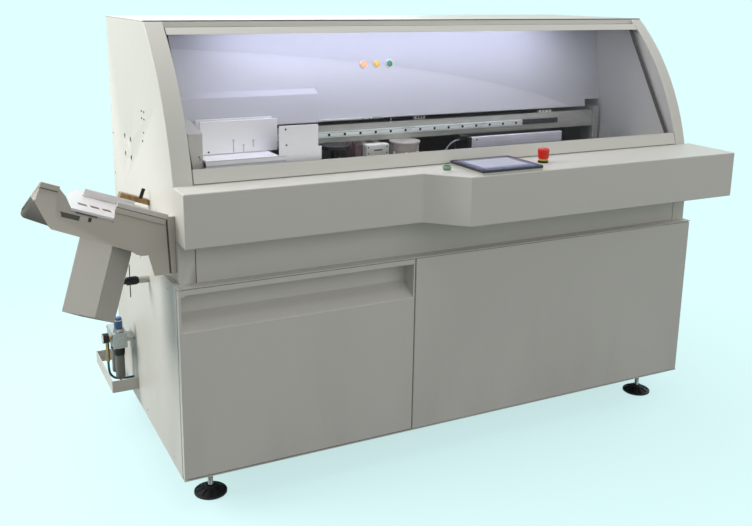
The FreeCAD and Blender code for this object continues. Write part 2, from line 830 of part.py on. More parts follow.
def hinge_pin(radius):
    return rod("X", ("cover_left", "hinge_y", "hinge_z"), radius, "cover_right - cover_left")


def roof():
    """The roof with its front lip and, welded behind the lip, the fixed leaf of the cover's hinge
    with the lugs that hold the pin."""
    top = box(("casing_left", "casing_right"), ("hood_top_front", "cabinet_depth"), ("casing_top", "roof_top"))
    lip = box(("bay_left", "bay_right"), ("hood_top_front", "leaf_y"), ("roof_top - roof_lip", "casing_top"))
    low = "hinge_z - knuckle_radius"
    leaf = box(("cover_left", "cover_right"), ("leaf_y", "leaf_y + hinge_leaf_sheet"), (low, "casing_top"))
    pieces = [top, lip, leaf]
    for span in lug_spans(0):
        pieces.append(rod("X", (span[0], "hinge_y", "hinge_z"), "knuckle_radius", "hinge_lug_width"))
        pieces.append(box(span, ("hinge_y", "leaf_y"), (low, "hinge_z")))
    return cut(fuse(*pieces), hinge_pin("hinge_pin_radius"))


def console():
    """The console: a folded shell, open at the back, with holes for the two buttons."""
    front, wide = "-console_front", "-console_wide_front"
    outline = [("casing_left", "casing_front"), ("casing_left", front), ("console_bevel_start", front),
               ("console_bevel_end", wide), ("console_right", wide), ("console_right", "casing_front")]
    sheet_in = "console_sheet"
    hollow = [(f"casing_left + {sheet_in}", "casing_front + cut_past"),
              (f"casing_left + {sheet_in}", f"{front} + {sheet_in}"),
              (f"console_bevel_start + {sheet_in} / 2", f"{front} + {sheet_in}"),
              (f"console_bevel_end + {sheet_in} / 2", f"{wide} + {sheet_in}"),
              (f"console_right - {sheet_in}", f"{wide} + {sheet_in}"),
              (f"console_right - {sheet_in}", "casing_front + cut_past")]
    shell = cut(prism("XY", outline, "band_top", "console_top"),
                prism("XY", hollow, f"band_top + {sheet_in}", f"console_top - {sheet_in}"))
    holes = [rod("Z", (x, y, "console_top - console_sheet"), "button_neck_radius", "console_sheet")
             for x, y in (("start_x", "-start_y"), ("stop_x", "-stop_y"))]
    return cut(shell, *holes)


def button_housing(x, y, radius, high):
    """A ring on the console with a threaded neck through its sheet, bored for the stem."""
    ring = rod("Z", (x, y, "console_top"), radius, high)
    neck = rod("Z", (x, y, "console_top - button_neck_drop"), "button_neck_radius", "button_neck_drop")
    return fuse(ring, neck)


def stem_bore(x, y):
    return rod("Z", (x, y, "console_top - button_neck_drop"), "button_stem_radius + button_clearance",
               "button_neck_drop + stop_base_high")


def start_housing():
    head_bore = rod("Z", ("start_x", "-start_y", "console_top"), "start_radius + button_clearance",
                    "start_bezel_high")
    return cut(button_housing("start_x", "-start_y", "start_bezel_radius", "start_bezel_high"),
               stem_bore("start_x", "-start_y"), head_bore)


def stop_housing():
    return cut(button_housing("stop_x", "-stop_y", "stop_base_radius", "stop_base_high"),
               stem_bore("stop_x", "-stop_y"))


def pressed_button(x, y, head_z, head_radius, head_high):
    """A button's head on a stem that runs down through the console."""
    head = rod("Z", (x, y, head_z), head_radius, head_high)
    stem = rod("Z", (x, y, "console_top - button_stem_drop"), "button_stem_radius",
               f"{head_z} - console_top + button_stem_drop")
    return fuse(head, stem)


def screen_frame():
    """A bezel with rounded corners and a pocket for the glass."""
    left, right = "screen_centre_x - screen_width / 2", "screen_centre_x + screen_width / 2"
    low, high = "-screen_centre_y - screen_depth / 2", "-screen_centre_y + screen_depth / 2"
    r = "screen_corner"
    outline = [(f"{left} + {r}", low), (f"{right} - {r}", low), (right, f"{low} + {r}", r, -1),
               (right, f"{high} - {r}"), (f"{right} - {r}", high, r, -1), (f"{left} + {r}", high),
               (left, f"{high} - {r}", r, -1), (left, f"{low} + {r}"), (f"{left} + {r}", low, r, -1)]
    return cut(prism("XY", outline[1:], "console_top", "console_top + screen_high"), screen_glass())


def screen_glass():
    half_x, half_y = "(screen_width / 2 - screen_border)", "(screen_depth / 2 - screen_border)"
    return box((f"screen_centre_x - {half_x}", f"screen_centre_x + {half_x}"),
               (f"-screen_centre_y - {half_y}", f"-screen_centre_y + {half_y}"),
               ("console_top + screen_high - glass_sheet", "console_top + screen_high"))


node("left_side_casing", left_casing())
node("right_side_casing", right_casing())
node("band_front_panel", box(("casing_left + band_end + band_groove", "casing_right - right_band_end - band_groove"),
                             ("band_front", "band_front + casing_sheet"), ("cabinet_top", "band_top")))
node("upper_rear_cover", box(("casing_left", "casing_right"), ("cabinet_depth - casing_sheet", "cabinet_depth"),
                             ("cabinet_top", "casing_top")))
node("roof_panel", roof())
node("console_shell", console())
node("screen_frame", screen_frame())
node("screen_glass", screen_glass())
node("button_housings", group(start_housing(), stop_housing()))
node("start_button", pressed_button("start_x", "-start_y", "console_top + button_travel + button_clearance",
                                    "start_radius", "start_head_high"))
node("emergency_stop_button", pressed_button("stop_x", "-stop_y",
                                             "console_top + stop_base_high + button_travel + button_clearance",
                                             "stop_head_radius", "stop_head_high"))


# ---------------------------------------------------------------- safety cover

def cover_top_rail():
    """The strip over the window's top edge, folded back to the knuckles that turn on the pin."""
    low = "strip_top - cover_strip_high"
    outline = [(arc_y("strip_out", low), low), (arc_y("strip_out", "strip_top"), "strip_top", "strip_out", 1),
               ("hinge_y", "strip_top"), ("hinge_y", "window_top"),
               (arc_y("window_out", "window_top"), "window_top"),
               (arc_y("window_out", low), low, "window_out", -1)]
    strip = prism("YZ", outline, "cover_left", "cover_right")
    notches = [box(span, ("hinge_y - knuckle_radius - hinge_lug_gap", "leaf_y"),
                   ("hinge_z - knuckle_radius - hinge_lug_gap", "strip_top + hinge_lug_gap"))
               for span in lug_spans("hinge_lug_gap")]
    return cut(fuse(strip, hinge_pin("knuckle_radius")), hinge_pin("hinge_pin_radius + pin_clearance"), *notches)


def cover_window():
    """The curved clear sheet between the two rails."""
    low, high = "cover_rail_top", "window_top"
    outline = [(arc_y("window_out", low), low), (arc_y("window_out", high), high, "window_out", 1),
               (arc_y("window_in", high), high), (arc_y("window_in", low), low, "window_in", -1)]
    return prism("YZ", outline, "cover_left", "cover_right")


def cover_bottom_rail():
    outline = [("casing_front - cover_rail_proud", "cover_low"), ("cover_rail_back", "cover_low"),
               ("cover_rail_back", "cover_rail_top"), (arc_y("strip_out", "cover_rail_top"), "cover_rail_top")]
    return prism("YZ", outline, "cover_left", "cover_right")


def cover_braces():
    """A straight bar at each end of the window, from the bottom rail to the knuckles."""
    high = "hinge_z - knuckle_radius"
    outline = [("cover_rail_back", "cover_low"), ("cover_rail_back + brace_wide", "cover_low"),
               ("hinge_y + brace_wide / 2", high), ("hinge_y - brace_wide / 2", high)]
    left, right = "cover_left + brace_inset", "cover_right - brace_inset"
    return group(prism("YZ", outline, left, f"{left} + brace_thick"),
                 prism("YZ", outline, f"{right} - brace_thick", right))


node("hinge_pins", group(hinge_pin("hinge_pin_radius"), *door_pins()))
node("cover_top_rail", cover_top_rail())
node("cover_window", cover_window())
node("cover_bottom_rail", cover_bottom_rail())
node("cover_braces", cover_braces())


# ---------------------------------------------------------------- working bay

def bed_and_deck():
    """The machine bed, and the front deck of the bay, folded down and welded to it."""
    bed = box(("bay_left", "bay_right"), ("casing_front", "bed_back"), ("bed_z - bed_thick", "bed_z"))
    top = box(("bay_left", "bay_right"), ("casing_front", "deck_back"), ("console_top - deck_sheet", "console_top"))
    apron = box(("bay_left", "bay_right"), ("casing_front", "casing_front + deck_sheet"),
                ("bed_z", "console_top - deck_sheet"))
    return fuse(bed, top, apron)


def bay_back_panel():
    """The leaning sheet behind the clamp, notched at its right end and drilled for the lamps,
    with the boxed cover over the loading position welded to it."""
    top = "casing_top"
    outline = [("bay_back_y", "back_low"), ("bay_back_y + bay_back_sheet", "back_low"),
               (f"{back_y(top)} + bay_back_sheet", top), (back_y(top), top)]
    notch = box(("bay_right - bay_notch_width", "bay_right"), ("bay_back_y", "bed_back"),
                ("back_low", "back_low + bay_notch_high"))
    sheet_metal = cut(prism("YZ", outline, "bay_left", "bay_right"), notch,
                      *[lamp(i, "lamp_radius") for i in range(3)])
    return fuse(sheet_metal, chest())


def lamp(i, radius, proud="lamp_lens_proud", deep="lamp_body_deep"):
    """A round piece square to the leaning panel, at the place of one of the three lamps."""
    z = "back_low + lamp_rise"
    item = rod("Z", (0, 0, 0), radius, f"{proud} + {deep}")
    turn(item, (1, 0, 0), "-90 - bay_back_lean")
    return place(item, f"lamp_first_x + {i} * lamp_pitch", f"{back_y(z)} - ({proud}) * cos(bay_back_lean)",
                 f"{z} + ({proud}) * sin(bay_back_lean)")


def lamp_bezels():
    return group(*[cut(lamp(i, "lamp_bezel_radius", "lamp_bezel_proud", 0), lamp(i, "lamp_radius"))
                   for i in range(3)])


def chest():
    """The boxed cover, with a bevelled top edge."""
    front, top = "chest_deep", "back_low + chest_high"
    shoulder = f"{top} - chest_bevel"
    outline = [(back_y("back_low"), "back_low"), (back_y(top), top), (f"{back_y(shoulder)} - {front}", shoulder),
               (f"{back_y('back_low')} - {front}", "back_low")]
    return prism("YZ", outline, "bay_left", "chest_right")


def guide_beam():
    """The beam across the bay, slotted past the end of the rail, and the post at its right end."""
    back = "bay_back_y + beam_deep"
    beam = box(("bay_left", "beam_right"), ("bay_back_y", back), ("beam_low", "beam_top"))
    slot = box(("rail_end", "beam_slot_end"), ("bay_back_y", "bay_back_y + beam_slot_deep"),
               ("rail_z - beam_slot_high / 2", "rail_z + beam_slot_high / 2"))
    post = box(("beam_right", "beam_right + post_width"), ("bay_back_y - rail_deep", back), ("bed_z", "back_low"))
    return fuse(cut(beam, slot), post)


def linear_rail():
    """The rail of the clamp carriage, with the hexagon sockets of its screws at an even pitch."""
    rail = box(("rail_start", "rail_end"), ("bay_back_y - rail_deep", "bay_back_y"),
               ("rail_z - rail_high / 2", "rail_z + rail_high / 2"))
    count = int(num("(rail_end - rail_start) / rail_pitch"))
    margin = f"(rail_end - rail_start - {count - 1} * rail_pitch) / 2"
    sockets = [hexagon("Y", (f"rail_start + {margin} + {i} * rail_pitch", "bay_back_y - rail_deep", "rail_z"),
                       "rail_socket", "rail_deep / 2") for i in range(count)]
    return cut(rail, *sockets)


def jaw_rods(start, length, radius):
    return [rod("Y", (x, start, "jaw_rod_z"), radius, length)
            for x in ("clamp_left + jaw_rod_inset", "clamp_right - jaw_rod_inset")]


def clamp_carriage():
    """The rear jaw, on two runner blocks that wrap the rail."""
    jaw = box(("clamp_left", "clamp_right"), ("rear_jaw_y", "carriage_y"), ("spine_z", "spine_z + jaw_high"))
    runner = ("carriage_y", "bay_back_y - clamp_clearance")
    high = ("rail_z - block_high / 2", "rail_z + block_high / 2")
    blocks = [box(span, runner, high) for span in (("clamp_left", "clamp_left + block_length"),
                                                   ("clamp_right - block_length", "clamp_right"))]
    channel = box(("clamp_left", "clamp_right"), ("bay_back_y - rail_deep - clamp_clearance", "bay_back_y"),
                  ("rail_z - rail_high / 2 - clamp_clearance", "rail_z + rail_high / 2 + clamp_clearance"))
    bores = jaw_rods("rear_jaw_y", "jaw_thick", "jaw_rod_radius + pin_clearance")
    return cut(fuse(jaw, *blocks), channel, *bores)


def front_jaw():
    """The front jaw plate, on two rods that slide through the rear jaw."""
    plate = box(("clamp_left", "clamp_right"), ("jaw_front_y", "jaw_back_y"), ("spine_z", "spine_z + jaw_high"))
    rods = jaw_rods("jaw_back_y", "book_gap + jaw_thick + jaw_travel + jaw_rod_end", "jaw_rod_radius")
    return fuse(plate, *rods)


def loading_plate():
    """The guide plate, stepped near its foot."""
    left, right = "loading_plate_left", "loading_plate_left + loading_plate_width"
    foot_right = f"{right} + loading_plate_step"
    step, top = "console_top + loading_plate_step_rise", "console_top + loading_plate_rise"
    outline = [(left, "bed_z"), (foot_right, "bed_z"), (foot_right, step), (right, step), (right, top), (left, top)]
    return prism("XZ", outline, "loading_plate_y", "loading_plate_y + loading_plate_sheet")


def loading_ledge():
    """The ledge that the spine stands on while the book is put in the clamp, welded to the
    guide plate at its end."""
    low = "station_top - ledge_sheet"
    outline = [("ledge_front", "bed_z"), ("ledge_front + ledge_apron", "bed_z"), ("ledge_front + ledge_apron", low),
               ("rear_jaw_y", low), ("rear_jaw_y", "station_top"), ("ledge_front", "station_top")]
    ledge = prism("YZ", outline, "stop_block_left + stop_block_width + station_clearance", "loading_plate_left")
    return fuse(ledge, loading_plate())


node("machine_bed", bed_and_deck())
node("bay_back_panel", bay_back_panel())
node("ceiling_light_bar", box(("bay_left + light_bar_inset", "bay_right - light_bar_inset"),
                              ("hood_top_front + light_bar_setback",
                               "hood_top_front + light_bar_setback + light_bar_deep"),
                              ("casing_top - light_bar_high", "casing_top")))
node("lamp_bezels", lamp_bezels())
for i, colour in enumerate(("amber", "yellow", "green")):
    node(f"{colour}_lamp_lens", lamp(i, "lamp_radius"))
node("guide_beam", guide_beam())
node("linear_rail", linear_rail())
node("clamp_carriage", clamp_carriage())
node("clamp_front_jaw", front_jaw())
node("loading_ledge", loading_ledge())
node("loading_stop_block", box(("stop_block_left", "stop_block_left + stop_block_width"),
                               ("stop_block_y", "bay_back_y - chest_deep - station_clearance"),
                               ("bed_z", "console_top + stop_block_rise")))


# ---------------------------------------------------------------- stations under the clamp

def cutter():
    """The spine cutter: a toothed disc on its spindle."""
    low = "station_top - cutter_thick"
    disc = rod("Z", ("cutter_x", "book_y", low), "cutter_radius - cutter_tooth", "cutter_thick")
    spindle = rod("Z", ("cutter_x", "book_y", "bed_z + motor_high - spindle_grip"), "spindle_radius",
                  f"{low} - bed_z - motor_high + spindle_grip")
    teeth = []
    count = round(num("cutter_teeth"))
    for i in range(count):
        tooth = doc.addObject("Part::Box", "Tooth")
        for side, size in (("Length", "cutter_radius - cutter_tooth / 2"), ("Width", "cutter_tooth * 2"), ("Height", "cutter_thick")):
            tooth.setExpression(side, fx(size))
        turn(tooth, (0, 0, 1), f"{i} * 360 / cutter_teeth")
        teeth.append(place(tooth, "cutter_x", "book_y", low))
    return fuse(disc, spindle, *teeth)


def cutter_motor():
    motor = rod("Z", ("cutter_x", "book_y", "bed_z"), "motor_radius", "motor_high")
    bore = rod("Z", ("cutter_x", "book_y", "bed_z + motor_high - spindle_grip - pin_clearance"),
               "spindle_radius + pin_clearance", "spindle_grip + pin_clearance")
    return cut(motor, bore)


def dust_hood():
    """The suction box beside the cutter, open towards it and at the top."""
    x = ("dust_hood_left", "dust_hood_left + dust_hood_width")
    wall = "dust_hood_wall"
    outer = box(x, ("station_front", "station_back"), ("bed_z", "station_top"))
    inner = box((x[0], f"{x[1]} - {wall}"), (f"station_front + {wall}", f"station_back - {wall}"),
                (f"bed_z + {wall}", "station_top"))
    return cut(outer, inner)


def roller_axes():
    middle = "tank_left + tank_length / 2"
    return [f"{middle} - roller_pitch / 2", f"{middle} + roller_pitch / 2"]


def glue_tank():
    """The open glue tank, bored for the shafts of its two rollers."""
    x = ("tank_left", "tank_left + tank_length")
    wall = "tank_wall"
    outer = box(x, ("station_front", "station_back"), ("bed_z", "bed_z + tank_high"))
    inner = box((f"{x[0]} + {wall}", f"{x[1]} - {wall}"), (f"station_front + {wall}", f"station_back - {wall}"),
                (f"bed_z + {wall}", "bed_z + tank_high"))
    bores = [rod("Y", (axis, "station_front", "roller_z"), "roller_shaft_radius + pin_clearance", "station_deep")
             for axis in roller_axes()]
    return cut(outer, inner, *bores)


def glue_roller(axis):
    gap = "tank_wall + roller_side_gap"
    drum = rod("Y", (axis, f"station_front + {gap}", "roller_z"), "roller_radius", f"station_deep - 2 * ({gap})")
    shaft = rod("Y", (axis, "station_front - drive_block_grip", "roller_z"), "roller_shaft_radius",
                "station_deep + drive_block_grip")
    return fuse(drum, shaft)


def drive_block():
    """The gear block that turns the glue rollers, on the front of the tank."""
    body = box(("tank_left", "tank_left + drive_block_width"), ("station_front - drive_block_deep", "station_front"),
               ("bed_z + drive_block_low", "station_top"))
    bores = [rod("Y", (axis, "station_front - drive_block_grip - pin_clearance", "roller_z"),
                 "roller_shaft_radius + pin_clearance", "drive_block_grip + pin_clearance") for axis in roller_axes()]
    return cut(body, *bores)


def premelter():
    """The upright drum that melts the glue, with the rim of its lid."""
    lid = "beam_low - station_clearance - bed_z - drum_lid"
    return spun([(0, 0), ("drum_radius", 0), ("drum_radius", lid), ("drum_radius + drum_lid", lid),
                 ("drum_radius + drum_lid", f"{lid} + drum_lid / 2"), ("drum_radius", f"{lid} + drum_lid"),
                 (0, f"{lid} + drum_lid")], ("drum_x", "drum_y", "bed_z"))


def key_spans(margin):
    """Where the keys under the nip bars lie along the bars."""
    ends = ("nip_left + nip_leg", "nip_left + nip_length - 2 * nip_leg")
    return [(f"{end} - {margin}", f"{end} + nip_leg + {margin}") for end in ends]


def nip_table():
    """The table of the nip station on two legs, slotted for the keys, with an end plate and the
    plug of its sensor."""
    x = ("nip_left - nip_bar", "nip_left + nip_length")
    y = ("nip_front_y", "station_back")
    under = "nip_z - nip_table_sheet"
    top = box(x, y, (under, "nip_z"))
    legs = [box(span, y, ("bed_z", under)) for span in ((x[0], f"{x[0]} + nip_leg"), (f"{x[1]} - nip_leg", x[1]))]
    end = box((x[0], f"{x[0]} + nip_bar - nip_clearance"), y, ("nip_z", "station_top"))
    slot_y = ("nip_front_y + nip_bar / 4 - nip_clearance", "nip_rear_y + 3 * nip_bar / 4 + nip_clearance")
    slots = [box(span, slot_y, (under, "nip_z")) for span in key_spans("nip_clearance")]
    plug = rod("X", (f"{x[0]} - plug_long", "nip_front_y + plug_back", "nip_z + plug_rise"), "plug_radius",
               "plug_long")
    return fuse(cut(fuse(top, end, *legs), *slots), plug)


def nip_bar(y):
    """A nip bar with two keys that run in the slots of the table."""
    bar = box(("nip_left", "nip_left + nip_length"), (y, f"{y} + nip_bar"), ("nip_z + nip_clearance", "station_top"))
    keys = [box(span, (f"{y} + nip_bar / 4", f"{y} + 3 * nip_bar / 4"),
                ("nip_z - nip_table_sheet / 2", "nip_z + nip_clearance")) for span in key_spans(0)]
    return fuse(bar, *keys)


node("cutter_motor_and_hood", group(cutter_motor(), dust_hood()))
node("spine_cutter", cutter())
node("glue_tank", glue_tank())
node("glue_drive_block", drive_block())
first_axis, second_axis = roller_axes()
node("first_glue_roller", glue_roller(first_axis))
node("second_glue_roller", glue_roller(second_axis))
node("glue_premelter", premelter())
node("nip_table", nip_table())
node("front_nip_bar", nip_bar("nip_front_y"))
node("rear_nip_bar", nip_bar("nip_rear_y"))


# ---------------------------------------------------------------- cover hopper on the left side

def hopper_front_plate():
    """The front plate: an ear at its outer end, a hand notch, a leg beside the cabinet, and the
    angle that carries it all."""
    ear_right = "-hopper_length + ear_width"
    corner_x, corner_w = "-hopper_length - hopper_corner_reach", "-hopper_corner_drop"
    rise = "hopper_corner_round"
    outline = [("-hopper_length", "hopper_ear"), ("-hopper_length", "-hopper_end_drop"),
               (corner_x, f"{corner_w} + 2 * {rise}"), (corner_x, f"{corner_w} + {rise}"),
               (f"{corner_x} + {rise}", corner_w, rise, -1), (ear_right, corner_w),
               ("-notch_left", "-hopper_belly_left"), ("-hopper_belly_right", "-hopper_belly"),
               ("-leg_shoulder", "-hopper_belly", "leg_fillet", -1),
               ("leg_reach - leg_width * cos(hopper_tilt)", "-leg_drop - leg_width * sin(hopper_tilt)"),
               ("leg_reach", "-leg_drop"), ("-hopper_right", 0), ("-notch_right - notch_flare", 0),
               ("-notch_right", "-notch_shelf"), ("-notch_step", "-notch_shelf"),
               ("-notch_step", "-notch_floor"), ("-notch_left + notch_corner", "-notch_floor"),
               ("-notch_left", "-notch_floor + notch_corner", "notch_corner", -1), (ear_right, "hopper_ear")]
    plate = prism("XZ", outline, "hopper_y", "hopper_y + hopper_sheet", LOCAL)
    proud = ("hopper_y - hopper_rim_proud", "hopper_y")
    rims = [box(("-notch_right - notch_flare", "-hopper_right"), proud, ("-hopper_rim", 0), LOCAL),
            box(("-hopper_length", ear_right), proud, ("hopper_ear - hopper_rim", "hopper_ear"), LOCAL)]
    wing = [("hopper_y + hopper_sheet", "hopper_ear"), ("hopper_y + hopper_sheet", "-hopper_end_drop"),
            ("hopper_y + ear_flange", "hopper_ear - ear_flange_fall")]
    flange = prism("YZ", wing, "-hopper_length", "-hopper_length + hopper_sheet", LOCAL)
    return fuse(lean(fuse(plate, flange, *rims)), hopper_angle())


def hopper_table():
    """The feed table with its slots, a flange along the front and the back, and the ramp at its
    outer end."""
    front = "hopper_y + hopper_sheet"
    under = "-table_level - hopper_sheet"
    outline = [("-table_left", front), ("table_right", front), ("table_right", "table_back"),
               ("-table_left + table_taper", "table_back"), ("-table_left + table_taper * 0.4", "table_back * 0.7")]
    top = prism("XY", outline, under, "-table_level", LOCAL)
    slots = [box((f"-slot_start + {i} * slot_pitch", f"-slot_start + {i} * slot_pitch + slot_length"),
                 ("slot_y - slot_width / 2", "slot_y + slot_width / 2"), (under, "-table_level"), LOCAL)
             for i in range(3)]
    flange = box(("-table_left", "-angle_width"), (front, f"{front} + hopper_sheet"),
                 ("-notch_floor - hopper_sheet", under), LOCAL)
    ramp = prism("XZ", [("-hopper_length + ear_width", "-table_level + ramp_rise"),
                        ("-hopper_length + ear_width", "-notch_floor - hopper_sheet"),
                        ("-table_left", "-notch_floor - hopper_sheet"), ("-table_left", "-table_level"),
                        ("-table_left - ramp_rise / 2", "-table_level + ramp_rise * 0.6")],
                 front, f"{front} + hopper_sheet", LOCAL)
    back = box(("-table_left + table_taper", "-hopper_right"), ("table_back", "table_back + hopper_sheet"),
               ("-notch_floor", "-table_level"), LOCAL)
    return lean(fuse(cut(top, *slots), flange, ramp, back))


def side_guide():
    """The guide that slides across the table to the width of the covers."""
    level = "-table_level + side_guide_clearance"
    span = ("-side_guide_left", "-side_guide_left + side_guide_length")
    upright = box(span, ("side_guide_y", "side_guide_y + hopper_sheet"), (level, f"{level} + side_guide_high"),
                  LOCAL)
    foot_plate = box(span, ("side_guide_y", "side_guide_y + side_guide_foot"), (level, f"{level} + hopper_sheet"),
                     LOCAL)
    return lean(fuse(upright, foot_plate))


def above_table():
    """All that lies above the underside of the feed table, to trim what ends under it."""
    reach = "hopper_length"
    square = [(f"-{reach}", 0), (reach, 0), (reach, reach), (f"-{reach}", reach)]
    return lean(prism("XY", square, "-table_level - hopper_sheet", reach, LOCAL))


def hopper_angle():
    """The angle that carries the hopper on the side of the machine."""
    front = "hopper_y + hopper_sheet"
    z = ("hopper_z - leg_drop", "hopper_z")
    leaf = box(("casing_left - angle_width", "casing_left"), (front, f"{front} + hopper_sheet"), z)
    wing = box(("casing_left - hopper_sheet", "casing_left"), (front, f"{front} + angle_reach"), z)
    return cut(fuse(leaf, wing), above_table())


def diamond(half):
    return [(f"-({half})", 0), (0, f"-({half})"), (half, 0), (0, half)]


def waste_duct():
    """The square duct set on its edge, leaning outwards, cut off at a mitre below and under
    the feed table above."""
    inner = "duct_half - duct_sheet * sqrt(2)"
    wall = cut(prism("XY", diamond("duct_half"), "-duct_drop", "duct_rise", LOCAL),
               prism("XY", diamond(inner), "-duct_drop - cut_past", "duct_rise + cut_past", LOCAL))
    mitre = prism("XY", diamond("duct_drop"), "-duct_drop", 0, LOCAL)
    turn(mitre, MITRE_AXIS, "duct_mitre")
    place(mitre, 0, 0, "-duct_outlet", LOCAL)
    duct = cut(wall, mitre)
    turn(duct, (0, 1, 0), "duct_lean")
    place(duct, "-duct_x", "duct_centre_y", "duct_z")
    return cut(duct, above_table())


node("hopper_front_plate", hopper_front_plate())
node("hopper_feed_table", hopper_table())
node("hopper_side_guide", side_guide())
node("waste_duct", waste_duct())


# ---------------------------------------------------------------- switch, joggler and air unit

def switch_boss():
    boss = rod("X", ("-switch_boss_long", "switch_y", "switch_z"), "switch_boss_radius", "switch_boss_long")
    bore = rod("X", ("-switch_boss_long", "switch_y", "switch_z"), "switch_pin_radius + pin_clearance", "switch_grip")
    return cut(boss, bore)


def switch_knob():
    """The black knob with a thin lever through it, on a pin that turns in the boss."""
    near = "-switch_boss_long - switch_gap"
    knob = rod("X", (f"{near} - switch_knob_long", "switch_y", "switch_z"), "switch_knob_radius", "switch_knob_long")
    pin = rod("X", (near, "switch_y", "switch_z"), "switch_pin_radius", "switch_gap + switch_grip - pin_clearance")
    bar = rod("Z", (f"{near} - switch_knob_long / 2", "switch_y", "switch_z - switch_bar_long / 2"),
              "switch_bar_radius", "switch_bar_long")
    return fuse(knob, pin, bar)


def joggler():
    """The brass bar that squares the covers: fixed to the side of the machine, above and along
    the feed table, with a roller under its outer end."""
    low = "-table_level + joggler_gap"
    y = ("joggler_y", "joggler_y + joggler_deep")
    bar = box(("-joggler_out", "joggler_out"), y, (f"{low} + joggler_roller", f"{low} + joggler_high"), LOCAL)
    roller = rod("Y", ("-joggler_out + joggler_roller", "joggler_y", f"{low} + joggler_roller"),
                 "joggler_roller", "joggler_deep", LOCAL)
    inside = box(("casing_left", "casing_left + 2 * joggler_out"), y, ("console_top - hood_height", "roof_top"))
    return cut(lean(fuse(bar, roller)), inside)


def air_guard():
    """The strip bent round the air unit, fixed to the side panel at both ends."""
    out, inner = "-air_guard_out", "-air_guard_out + air_guard_sheet"
    front, back = "air_guard_front", "air_guard_front + air_guard_long"
    outline = [(0, front), (0, f"{front} + air_guard_sheet"), (inner, f"{front} + air_guard_sheet"),
               (inner, f"{back} - air_guard_sheet"), (0, f"{back} - air_guard_sheet"), (0, back),
               (out, back), (out, front)]
    return prism("XY", outline, "air_guard_low", "air_guard_low + air_guard_high")


def air_body():
    """The regulator and filter block, its bracket, the collar of the knob and the gauge."""
    x = ("-air_x - air_wide / 2", "-air_x + air_wide / 2")
    block = box(x, ("air_y - air_wide / 2", "air_y + air_bowl_pitch + air_wide / 2"), ("air_low", "air_top"))
    bracket = box((x[1], 0), ("air_y", "air_y + air_bowl_pitch"), ("air_low + air_high / 4", "air_low + air_high / 2"))
    collar = rod("Z", ("-air_x", "air_y", "air_top"), "air_collar_radius", "air_collar_high")
    bore = rod("Z", ("-air_x", "air_y", "air_top + air_collar_high - air_knob_grip - pin_clearance"),
               "air_knob_radius / 2 + pin_clearance", "air_knob_grip + pin_clearance")
    return cut(fuse(block, bracket, collar), bore)


def air_gauge():
    left = "-air_x - air_wide / 2"
    stub = "air_gauge_long / 2"
    z = "air_low + 2 * air_high / 3"
    case = rod("X", (f"{left} - {stub} - air_gauge_long", "air_y", z), "air_gauge_radius", "air_gauge_long")
    return fuse(case, rod("X", (f"{left} - {stub}", "air_y", z), "air_gauge_radius / 3", stub))


def air_knob():
    top = "air_top + air_collar_high"
    grip = rod("Z", ("-air_x", "air_y", f"{top} + button_clearance"), "air_knob_radius", "air_knob_high")
    pin = rod("Z", ("-air_x", "air_y", f"{top} - air_knob_grip"), "air_knob_radius / 2",
              "air_knob_grip + button_clearance")
    return fuse(grip, pin)


def air_bowls():
    """Two filter bowls with dark collars, hanging under the block."""
    bowls = []
    for i in range(2):
        y = f"air_y + {i} * air_bowl_pitch"
        total = "air_bowl_high + air_bowl_collar"
        bowls.append(spun([(0, 0), ("air_bowl_radius - air_bowl_edge", 0), ("air_bowl_radius", "air_bowl_edge"),
                           ("air_bowl_radius", "air_bowl_high"), ("air_collar_radius", "air_bowl_high"), ("air_collar_radius", total), (0, total)],
                          ("-air_x", y, f"air_low - ({total})")))
    return bowls


def air_inlet():
    """The supply fitting at the back of the block, bored for the air line."""
    y = "air_y + air_bowl_pitch + air_wide / 2"
    z = "air_low + air_high / 2"
    body = rod("Y", ("-air_x", y, z), "air_inlet_radius", "air_port_long")
    bore = rod("Y", ("-air_x", f"{y} + air_port_long / 3", z), "air_port_radius", "2 * air_port_long / 3")
    return cut(body, bore)


def hose_elbow():
    """The push-in elbow on the outer face of the block, pointing down to the hose."""
    left = "-air_x - air_wide / 2"
    z = "air_low + air_high / 4"
    arm = rod("X", (f"{left} - elbow_out", "elbow_y", z), "elbow_radius", "elbow_out")
    drop = rod("Z", (f"{left} - elbow_out", "elbow_y", f"{z} - elbow_drop"), "elbow_radius", "elbow_drop + elbow_radius")
    return fuse(arm, drop)


node("switch_knob", switch_knob())
node("cover_joggler", joggler())
node("air_guard_and_switch_boss", group(air_guard(), switch_boss()))
node("air_unit_body", air_body())
node("air_regulator_knob", air_knob())
node("air_bowls_and_gauge", group(air_gauge(), *air_bowls()))
node("air_fittings", group(air_inlet(), hose_elbow()))
node("air_hose", tube(HOSE_ROUTE, "hose_radius"))
node("nip_sensor_cable", tube(CABLE_ROUTE, "cable_radius"))

doc.recompute()
for item in doc.Objects:
    if {"Invalid", "Error"} & set(item.State):
        raise SystemExit(f"{item.Label} ({item.Name}) failed to recompute: {item.State}")
for item in PARTS:
    if item.Shape.isNull() or not item.Shape.isValid() or not item.Shape.Solids:
        raise SystemExit(f"{item.Label} has no sound solid")
os.makedirs("parts", exist_ok=True)
for item in PARTS:
    item.Shape.exportStep(f"parts/{item.Label}.step")
print(len(PARTS), "sub-parts")
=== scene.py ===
"""Dresses the perfect binding machine: painted sheet metal, clear cover, clamp, stations and side
hopper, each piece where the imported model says. Lengths in this script are millimetres measured
from the cabinet's front left corner, as in the part's own source; spot() turns them to metres."""
import json
import math

import bmesh
import bpy
from mathutils import Matrix, Vector

